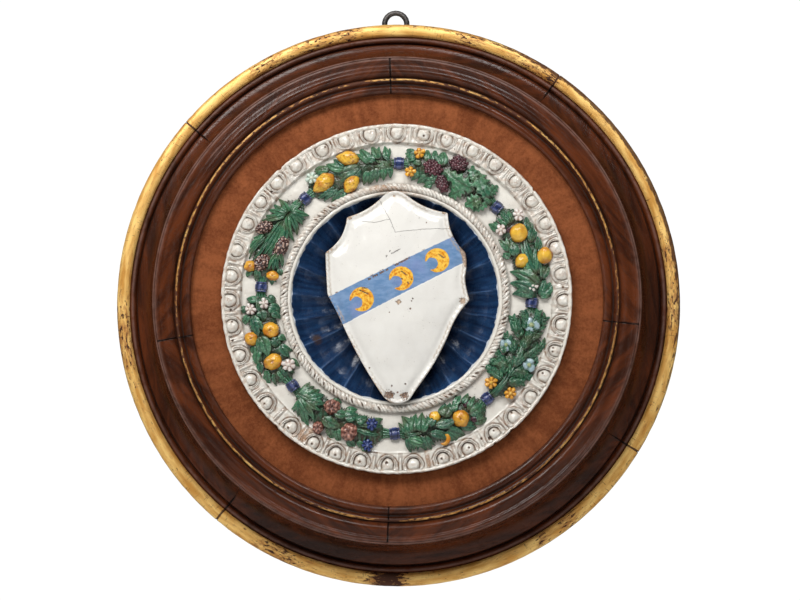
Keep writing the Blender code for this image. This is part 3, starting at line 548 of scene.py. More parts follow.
def buildVelvet():
    # A ring r from the tondo to the frame, u across it and t round it; both edges turn down 13 mm
    s = velvetShape
    t = np.linspace(0, 360, 420, endpoint=False)[:, None]
    r = np.concatenate([np.full(3, s["inner"]), np.linspace(s["inner"] + 0.0006, s["outer"] - 0.0006, 16),
                        np.full(3, s["outer"])])[None, :]
    drop = s["turnedIn"]
    out = s["crown"] - np.concatenate([[drop, drop * 0.5, 0.0008], np.zeros(16),
                                       [0.0008, drop * 0.5, drop]])[None, :]
    x, up = onRing(t, r)
    flat = wallPoint(x, up, out + 0 * t)
    swell = ripple(flat, 0.045, 21) * s["pucker"]
    pulls = np.sin(np.radians(t * 46 + 25 * np.sin(np.radians(t * 3)))) * s["pucker"]
    pulls = pulls * (bump(r, s["inner"], 0.008) + bump(r, s["outer"], 0.012))
    heap = Heap("pile")
    heap.add(wallPoint(x, up, out + (swell + pulls) * (out > s["crown"] - 0.0001)), closeRows=True,
             pile=np.stack([np.radians(t) * 0.3 + 0 * r, r + 0 * t, 0 * r + 0 * t], axis=-1))
    material, w, shader = newMaterial("rustVelvet", IOR=1.4, Sheen_Weight=0.35, Sheen_Roughness=0.4,
                                      Sheen_Tint=(1.0, 0.50, 0.28, 1.0), Specular_IOR_Level=0.1)
    point, lay = w.objectPoint(), w.mark("pile", "Vector")
    rubbed = w.noise(w.stretch(lay, (60.0, 18.0, 1.0)), 1.0, 4.0, 0.6, 0.4)
    cloud = w.noise(point, 14.0, 4.0, 0.6)
    nap = w.noise(point, 260.0, 4.0, 0.7)
    tuft = w.noise(point, 1100.0, 2.0, 0.7)
    share = w.math("ADD", w.math("MULTIPLY", rubbed, 0.35), w.math("MULTIPLY", cloud, 0.30))
    share = w.math("ADD", share, w.math("MULTIPLY", nap, 0.35))
    colour = w.mix(w.span(share, 0.38, 0.62), (0.122, 0.031, 0.0102), (0.262, 0.080, 0.029))
    colour = w.mix(w.span(tuft, 0.35, 0.75, 0.0, 0.30), colour, (0.33, 0.115, 0.046))
    finishShader(w, shader, 0.0009, Base_Color=colour, Roughness=w.span(rubbed, 0.2, 0.8, 0.82, 0.98),
                 Height=w.math("ADD", w.math("MULTIPLY", tuft, 0.5), w.math("MULTIPLY", nap, 0.6)))
    velvet = place("velvet_ring", heap.mesh("velvet_ring"), material, "velvet", "velvet_cover")


# Tondo: lip, egg ring, ground, rope and dish

tondoShape = {
    "ground": 0.0885, "back": 0.0203, "aside": -0.0022,
    "eggTurns": (0.3, 9.5, 17.8, 27.6, 36.7, 45.9, 54.8, 63.7, 72.9, 82.1, 91.1, 99.5, 108.7, 118.1,
                 126.7, 135.6, 144.2, 154.6, 163.8, 174.1, 182.9, 192.3, 201.2, 209.6, 219.0, 230.8,
                 240.6, 249.7, 260.1, 269.0, 277.5, 286.6, 296.4, 305.3, 313.9, 322.8, 333.4, 341.7,
                 350.9),
    # pinholes in the eggs: degrees clockwise, mm from the centre, width in mm
    "pits": ((9.7, 255, 1.5), (86.6, 257, 1.6), (108, 253, 1.4), (109.3, 254, 1.4), (117.5, 253, 1.6),
             (135.1, 250, 1.6), (143.9, 253, 1.5), (146.5, 259, 2.2), (149, 253, 1.5), (154.2, 256, 1.6),
             (164.3, 257, 1.6), (183.3, 254, 2.4), (192.4, 258, 1.7), (201, 259, 1.7), (209.8, 259, 1.7),
             (219.5, 260, 1.7), (231, 260, 1.6), (232.8, 266, 1.4), (255.2, 261, 1.5), (261.6, 256, 1.4),
             (265.7, 256, 1.4), (310.5, 254, 1.4), (334.8, 259, 1.4)),
    "chips": ((139.0, 0.9), (146.0, 0.6), (223.0, 1.0), (318.0, 0.8), (52.0, 0.5), (270.0, 0.6)),
    "stains": ((169.0, 0.7), (214.0, 2.2)),
    "eggColumns": 2340, "strands": 164, "flutes": 23, "firstRidge": 53.3,
    "rustSpot": (-0.1240, -0.070, -0.0640),
    # holes between the rope's strands, degrees clockwise and how large
    "holes": ((63.6, 1), (77, 1.2), (83.6, 0.8), (87.2, 0.8), (92.8, 0.9), (95.6, 0.8), (101.4, 1.5),
              (103.6, 0.9), (109.6, 0.9), (119.6, 0.9), (128.4, 0.9), (132.8, 1.5), (135.2, 0.8),
              (143.8, 0.9), (146.4, 0.8), (150.2, 1.5), (152.8, 0.9), (155.6, 0.8), (159, 0.8),
              (161.4, 0.8), (188, 0.9), (196.8, 0.9), (202.4, 0.9), (205.6, 0.8), (213, 0.9), (219.4, 0.9),
              (222.8, 0.8), (225.6, 0.9), (229.2, 0.9), (239.6, 0.9), (243.6, 0.9), (261.6, 1.3),
              (272, 0.9), (276.8, 0.9), (280.4, 0.8), (283.2, 0.8), (288, 0.9), (297.2, 0.9), (314.8, 0.9),
              (317.2, 0.8), (320, 0.8), (321.6, 0.7), (324.4, 0.8), (326.4, 0.8)),
}


def ringPiece(heap, turns, radius, out, bottom, aside=0.0, **marks):
    # Closes a strip of (turn, across) points into a ring with walls down to the given height
    wall = np.full((len(turns), 1), bottom)
    r = np.concatenate([radius[:, :1], radius, radius[:, -1:]], axis=1)
    h = np.concatenate([wall, out, wall], axis=1)
    x, up = onRing(turns[:, None], r)
    marks = {k: np.concatenate([v[:, :1], v, v[:, -1:]], axis=1) for k, v in marks.items()}
    heap.add(wallPoint(x + aside, up, h), closeRows=True, closeColumns=True, **marks)


def turnsFrom(turns, spot):  # degrees from a spot on the ring, -180 to 180
    return (turns - spot + 180) % 360 - 180


def buildLip(finish):
    # The plain outer band, r and h along a rounded section, with a wavy, chipped and worn edge
    turns = np.linspace(0, 360, 1080, endpoint=False)
    section = smoothThrough([(0.2642, 0.0950), (0.2652, 0.0966), (0.2666, 0.0980), (0.2684, 0.0987),
                             (0.2700, 0.0984), (0.2710, 0.0970), (0.2714, 0.0948)], 4)
    r, h = (np.broadcast_to(section[:, i], (1080, len(section))).copy() for i in (0, 1))
    flat = wallPoint(*onRing(turns[:, None], r), h)
    nicks = sum(bump(turnsFrom(turns, spot), 0, width * 0.7) for spot, width in tondoShape["chips"])
    nicks = nicks[:, None] * easeIn(r, 0.2680, 0.2708)
    wear = np.abs(ripple(flat, 0.03, 31)) * 0.0005 + np.clip(ripple(flat, 0.007, 34), 0, 2) * 0.0003
    r -= wear * easeIn(r, 0.2660, 0.2700) + 0.0016 * nicks
    h += ripple(flat, 0.05, 32) * 0.0006 + ripple(flat, 0.010, 33) * 0.00022 - 0.0014 * nicks
    soaked = nicks * 1.2 + 0.50 * easeIn(ripple(flat, 0.011, 37), -0.4, 1.2)
    soaked = soaked + 0.60 * bump(r, 0.2710, 0.0016) * easeIn(ripple(flat, 0.02, 38), -0.8, 0.6)
    heap = Heap("cavity", "edge", "stain")
    ringPiece(heap, turns, r, h, tondoShape["back"],
              cavity=0.60 * bump(r, 0.2648, 0.0011) * easeIn(ripple(flat, 0.03, 35), -0.6, 0.8),
              edge=np.maximum(bump(r, 0.2708, 0.0018), 0.3 * easeIn(ripple(flat, 0.012, 36), 0.4, 1.4)),
              stain=np.clip(soaked, 0, 1))
    place("tondo_lip", heap.mesh("tondo_lip", sharp=50), finish, "glazed_relief", "tondo")


def buildEggs(finish):
    # Height over (turn, radius): a dome inside its oval, a raised husk between two larger ovals with
    # a line cut along it, and a dart halfway to the next egg. All lines waver by half a millimetre
    centres = np.array(tondoShape["eggTurns"])
    turns = np.linspace(0, 360, tondoShape["eggColumns"], endpoint=False)
    rows = np.linspace(0.2392, 0.2655, 38)
    away = turnsFrom(turns[:, None], centres[None, :])
    nearest = np.abs(away).argmin(axis=1)
    chance = np.random.default_rng(7)
    size = chance.uniform(0.93, 1.07, (len(centres), 2))[nearest]
    offset = np.take_along_axis(away, nearest[:, None], axis=1)
    gaps = np.stack([centres - np.roll(centres, 1), np.roll(centres, -1) - centres], axis=1) % 360
    half = np.where(offset[:, 0] < 0, gaps[nearest, 0], gaps[nearest, 1])[:, None] / 2
    r = np.broadcast_to(rows, (len(turns), len(rows)))
    flat = wallPoint(*onRing(turns[:, None], r), 0.09)
    side = np.radians(offset) * r + ripple(flat, 0.012, 43) * 0.00042
    down = 0.2655 - r + ripple(flat, 0.013, 44) * 0.00045
    base = 0.0905 + 0.0040 * easeIn(r, 0.2396, 0.2430) + 0.0012 * easeIn(r, 0.2430, 0.2655)
    oval = np.sqrt((side / (0.0090 * size[:, :1])) ** 2 + ((down - 0.0072) / (0.0103 * size[:, 1:])) ** 2)
    outer = np.sqrt((side / 0.0156) ** 2 + ((down - 0.0050) / 0.0178) ** 2)
    dome = np.sqrt(np.clip(1 - oval ** 2, 0, 1)) * easeIn(down, -0.0030, 0.0040)
    inner = 1.16
    across = np.clip((oval - inner) / np.clip(oval - inner + (1 - outer) * 1.45, 1e-6, None), 0, 1)
    inHusk = (oval > inner) & (outer < 1)
    husk = np.where(inHusk, np.sin(np.pi * across) ** 0.5, 0)
    lane = np.radians(half - np.abs(offset)) * r
    dart = bump(lane, 0, 0.0013) * easeIn(down, 0.024, 0.012)
    dart = dart + 0.3 * bump(lane, 0.0032, 0.0008) * easeIn(down, 0.017, 0.006)
    cut = inHusk * bump(across, 0.50, 0.16) * easeIn(down, 0.0, 0.006)
    h = base + 0.0044 * dome - 0.0024 * (1 - dome) * (outer < 1) + husk * (0.0056 - 0.0036 * cut)
    h = h + 0.0030 * dart
    h = h + ripple(flat, 0.008, 41) * 0.00030 + ripple(flat, 0.045, 42) * 0.0004
    # The lines round the eggs are darker toward the lower left, about 200 degrees clockwise
    lineDarkness = 0.62 + 0.45 * bump(turnsFrom(turns, 200), 0, 85)[:, None]
    lineDarkness = lineDarkness + 0.40 * ripple(flat, 0.024, 45)
    pits = sum(1.9 * bump(np.hypot(np.radians(turnsFrom(turns, spot))[:, None] * r, r - at / 1000),
                          0, width / 1000) for spot, at, width in tondoShape["pits"])
    lines = 1.1 * bump(oval, 1.09, 0.12) + 1.0 * bump(outer, 1.07, 0.075) + 0.6 * cut
    lines = lines + 0.55 * (lane < 0.0036) * (dart < 0.3) + 0.5 * bump(r, 0.2398, 0.0012)
    stain = sum(bump(turnsFrom(turns, spot), 0, width) for spot, width in tondoShape["stains"])[:, None]
    stain = stain * easeIn(ripple(flat, 0.010, 46), -0.8, 0.5)
    heap = Heap("cavity", "edge", "stain")
    ringPiece(heap, turns, r, h - 0.0007 * np.clip(pits, 0, 1.9), tondoShape["back"],
              cavity=np.clip(lines, 0, 1) * np.clip(lineDarkness, 0.22, 1) + pits,
              edge=0.7 * dome ** 3 + 0.8 * husk * (1 - cut),
              stain=np.clip(stain + 0.36 * easeIn(ripple(flat, 0.012, 47), -0.5, 1.2), 0, 1) + 0 * r)
    place("egg_ring", heap.mesh("egg_ring"), finish, "glazed_relief", "tondo")


def buildGround(finish):
    # The white band under the garland, slightly uneven, turned up where it meets the eggs
    turns = np.linspace(0, 360, 720, endpoint=False)
    section = np.concatenate([
        [(0.1728, 0.0880)], smoothThrough([(0.1745, 0.0884), (0.1770, 0.0885)], 3),
        [(r, 0.0885) for r in np.linspace(0.180, 0.2345, 18)],
        smoothThrough([(0.2362, 0.0886), (0.2380, 0.0891), (0.2392, 0.0899), (0.2397, 0.0901)], 3)])
    r, h = (np.broadcast_to(section[:, i], (720, len(section))).copy() for i in (0, 1))
    flat = wallPoint(*onRing(turns[:, None], r), h)
    h += ripple(flat, 0.04, 51) * 0.00035 + ripple(flat, 0.009, 52) * 0.00018
    heap = Heap("cavity", "edge", "stain")
    ringPiece(heap, turns, r, h, tondoShape["back"], cavity=0.5 * bump(r, 0.1778, 0.0014),
              edge=0 * r, stain=0.10 * easeIn(ripple(flat, 0.03, 53), 0.2, 1.3))
    place("garland_ground", heap.mesh("garland_ground"), finish, "glazed_relief", "tondo")


def buildRope(finish):
    # A half-round moulding: strands lift its surface by |sin| of the turn plus the slant across, with
    # uneven spacing, and holes stand open between some of them
    strands = tondoShape["strands"]
    turns = np.linspace(0, 360, strands * 10, endpoint=False)
    a = np.radians(np.linspace(184, -4, 19))
    r = 0.1717 + 0.0056 * np.cos(a)[None, :] + 0 * turns[:, None]
    h = 0.0905 + 0.0062 * np.sin(a)[None, :] + 0 * turns[:, None]
    flat = wallPoint(*onRing(turns[:, None], r), h)
    slant = turns[:, None] + 2.9 * (r - 0.1717) / 0.0110
    lay = slant * strands / 360 + 0.22 * ripple(flat, 0.016, 64)
    strand = np.abs(np.sin(np.pi * lay)) ** 0.65
    lift = 0.0017 * strand * np.clip(np.sin(a), 0, 1)[None, :] ** 0.5
    r, h = r + lift * np.cos(a)[None, :], h - 0.0010 + lift * np.sin(a)[None, :]
    h = h + ripple(flat, 0.013, 61) * 0.00035
    holes = sum(bump(turnsFrom(slant, spot), 0, 0.42 * wide) for spot, wide in tondoShape["holes"])
    holes = holes * bump(r, 0.1721, 0.0026)
    patchy = easeIn(ripple(flat, 0.05, 62), -0.9, 0.9)
    # Browner near the top, under the shield's tip: a painted shadow there, with brown stain patches all round
    brownAndShadow = 0.75 * bump(turnsFrom(turns, 354), 0, 11)[:, None] * easeIn(ripple(flat, 0.012, 65), -0.9, 0.6)
    brownAndShadow = brownAndShadow + 0.35 * easeIn(ripple(flat, 0.010, 66), -0.3, 1.1)
    heap = Heap("cavity", "edge", "stain")
    ringPiece(heap, turns, r, h - 0.0014 * holes, tondoShape["back"], tondoShape["aside"],
              cavity=np.clip(1.0 * (1 - strand) ** 1.5 * (0.40 + 0.60 * patchy)
                             + 0.6 * np.broadcast_to(np.abs(np.cos(a)) ** 8, r.shape), 0, 1) + 1.9 * holes,
              edge=0.8 * strand ** 3, stain=np.clip(brownAndShadow, 0, 1) + 0 * r)
    place("rope_moulding", heap.mesh("rope_moulding"), finish, "glazed_relief", "tondo")


def buildFillet(finish):
    # The plain white bead between the rope and the dish
    turns = np.linspace(0, 360, 720, endpoint=False)
    section = smoothThrough([(0.1598, 0.0880), (0.1605, 0.0908), (0.1620, 0.0926), (0.1640, 0.0931),
                             (0.1658, 0.0922), (0.1668, 0.0896)], 4)
    r, h = (np.broadcast_to(section[:, i], (720, len(section))).copy() for i in (0, 1))
    flat = wallPoint(*onRing(turns[:, None], r), h)
    r += ripple(flat, 0.05, 71) * 0.0003 + ripple(flat, 0.012, 73) * 0.00022
    h += ripple(flat, 0.03, 72) * 0.0003
    # Browner near the top, under the shield's tip: a painted shadow
    brownAndShadow = 0.8 * bump(turnsFrom(turns, 2), 0, 13)[:, None] * easeIn(ripple(flat, 0.012, 74), -0.9, 0.6)
    heap = Heap("cavity", "edge", "stain")
    ringPiece(heap, turns, r, h, tondoShape["back"], tondoShape["aside"],
              cavity=0.85 * bump(r, 0.1664, 0.0009) * easeIn(ripple(flat, 0.02, 75), -1.2, 0.6),
              edge=0.5 * bump(r, 0.1606, 0.0010), stain=np.clip(brownAndShadow, 0, 1) + 0 * r)
    place("dish_fillet", heap.mesh("dish_fillet"), finish, "glazed_relief", "tondo")


def buildDish():
    # Height over (turn, radius): a bowl from the boss to the rim, less flutes that are deepest at
    # 70% of the radius and end round under the rim. Shade is painted into the glaze where the shield hangs
    # over it
    flutes = tondoShape["flutes"]
    turns = np.linspace(0, 360, flutes * 30, endpoint=False)
    rows = np.concatenate([np.linspace(0.040, 0.143, 30), np.linspace(0.1445, 0.1610, 24)])
    r = np.broadcast_to(rows, (len(turns), len(rows))).copy()
    bowl = np.interp(rows, [0.04, 0.056, 0.09, 0.126, 0.146, 0.1580, 0.1610],
                     [0.0500, 0.0502, 0.0562, 0.0672, 0.0790, 0.0888, 0.0902])
    sway = ripple(wallPoint(*onRing(turns[:, None], r), 0.07), 0.12, 83) * 0.05
    share = ((turns[:, None] - tondoShape["firstRidge"]) * flutes / 360 + sway) % 1.0
    hollow = 1 - (2 * share - 1) ** 2
    head = np.sqrt(np.clip(1 - (np.clip(r - 0.1480, 0, None) / 0.0118) ** 2, 0, 1))
    reach = easeIn(r, 0.048, 0.125) * np.where(r > 0.1480, head, 1)
    roundHead = np.clip(hollow - (1 - head) * 0.55, 0, 1)
    h = bowl[None, :] - 0.0066 * reach * np.where(r > 0.1480, roundHead, hollow) ** 0.85
    flat = wallPoint(*onRing(turns[:, None], r), h)
    h = h + ripple(flat, 0.035, 81) * 0.0006 + ripple(flat, 0.012, 82) * 0.00022
    ridge = bump(np.minimum(share, 1 - share), 0, 0.030) * easeIn(r, 0.05, 0.09)
    wavy = r - 0.0017 * np.abs(np.sin(np.pi * share)) + 0.0006 * ripple(flat, 0.010, 84)
    rim = easeIn(wavy, 0.1572, 0.1592)
    spots = np.stack([flat[..., 0] + tondoShape["aside"], flat[..., 2]], axis=-1)
    gap = np.full(spots.shape[:2], 9.0)
    for corner in shieldOutline(84):
        gap = np.minimum(gap, np.hypot(spots[..., 0] - corner[0], spots[..., 1] - corner[1]))
    heap = Heap("cavity", "edge", "ridge", "rim", "spoke")
    spoke = np.stack([np.radians(turns[:, None]) + 0 * r, r, 0 * r], axis=-1)
    # cavity near the shield's outline is a painted shadow of the shield
    ringPiece(heap, turns, r, h, tondoShape["back"] + 0.02, tondoShape["aside"],
              cavity=np.clip(0.30 * hollow * reach + 0.75 * bump(gap, 0, 0.011), 0, 1), edge=ridge,
              ridge=ridge, rim=rim, spoke=spoke)
    material, w, shader = newMaterial("cobaltDishGlaze", IOR=1.5, Specular_IOR_Level=0.35)
    way = w.mark("spoke", "Vector")
    streak = w.noise(w.stretch(way, (26.0, 22.0, 1.0)), 1.0, 5.0, 0.62, 0.5)
    thin = w.noise(w.stretch(way, (120.0, 26.0, 1.0)), 1.0, 3.0, 0.6, 1.2)
    cloud = w.noise(w.objectPoint(), 24.0, 3.0)
    blue = w.mix(w.span(streak, 0.34, 0.68), (0.0075, 0.0235, 0.070), (0.0175, 0.0580, 0.150))
    scrape = w.math("MULTIPLY", w.span(thin, 0.66, 0.74), w.span(cloud, 0.48, 0.62))
    crest = w.math("MULTIPLY", w.mark("ridge"), w.span(streak, 0.38, 0.60))
    light = w.math("MAXIMUM", w.math("MULTIPLY", scrape, 0.22), w.math("MULTIPLY", crest, 0.52))
    blue = w.mix(light, blue, (0.12, 0.22, 0.42))
    fromSpot = w.node("ShaderNodeVectorMath", {0: w.objectPoint(), 1: tondoShape["rustSpot"]},
                      operation="DISTANCE").outputs["Value"]
    rust = w.math("MULTIPLY", w.span(fromSpot, 0.005, 0.011, 1.0, 0.0), w.span(thin, 0.36, 0.52))
    blue = w.mix(rust, blue, (0.058, 0.034, 0.026))
    edge = w.span(w.math("ADD", w.mark("rim"), w.math("MULTIPLY", w.math("SUBTRACT", thin, 0.5), 1.1)),
                  0.42, 0.60)
    blue = w.mix(edge, blue, (0.52, 0.56, 0.60))
    made = w.group(tinGlaze, Colour=blue, Deep=(0.002, 0.004, 0.014), Clay=(0.20, 0.18, 0.20), Patchy=0.10,
                   Cavity=w.mark("cavity"), Edge=w.mark("edge"), Wear=0.18, Pinholes=0.15)
    finishShader(w, shader, 0.0010, Height=made["Height"], Base_Color=made["Colour"],
                 Roughness=w.math("ADD", made["Roughness"], 0.12))
    place("fluted_dish", heap.mesh("fluted_dish", sharp=70), material, "glazed_relief", "tondo")


# Garland

garlandShape = {
    "middle": 0.2095, "halfWidth": 0.0265, "rise": 0.0080, "firstLift": 0.0006, "layerLift": 0.0060,
    "fuller": 1.20, "perDegree": 3.66,  # leaf widths are this much fuller; mm along the ring
    "pod": (172.0, 223, 11.0, 8.0, -25),  # degrees clockwise, mm out, half length, half width, tilt
    "ribbons": (1.2, 48.2, 92.3, 138.1, 180.6, 229.5, 274.6, 317.5),
}
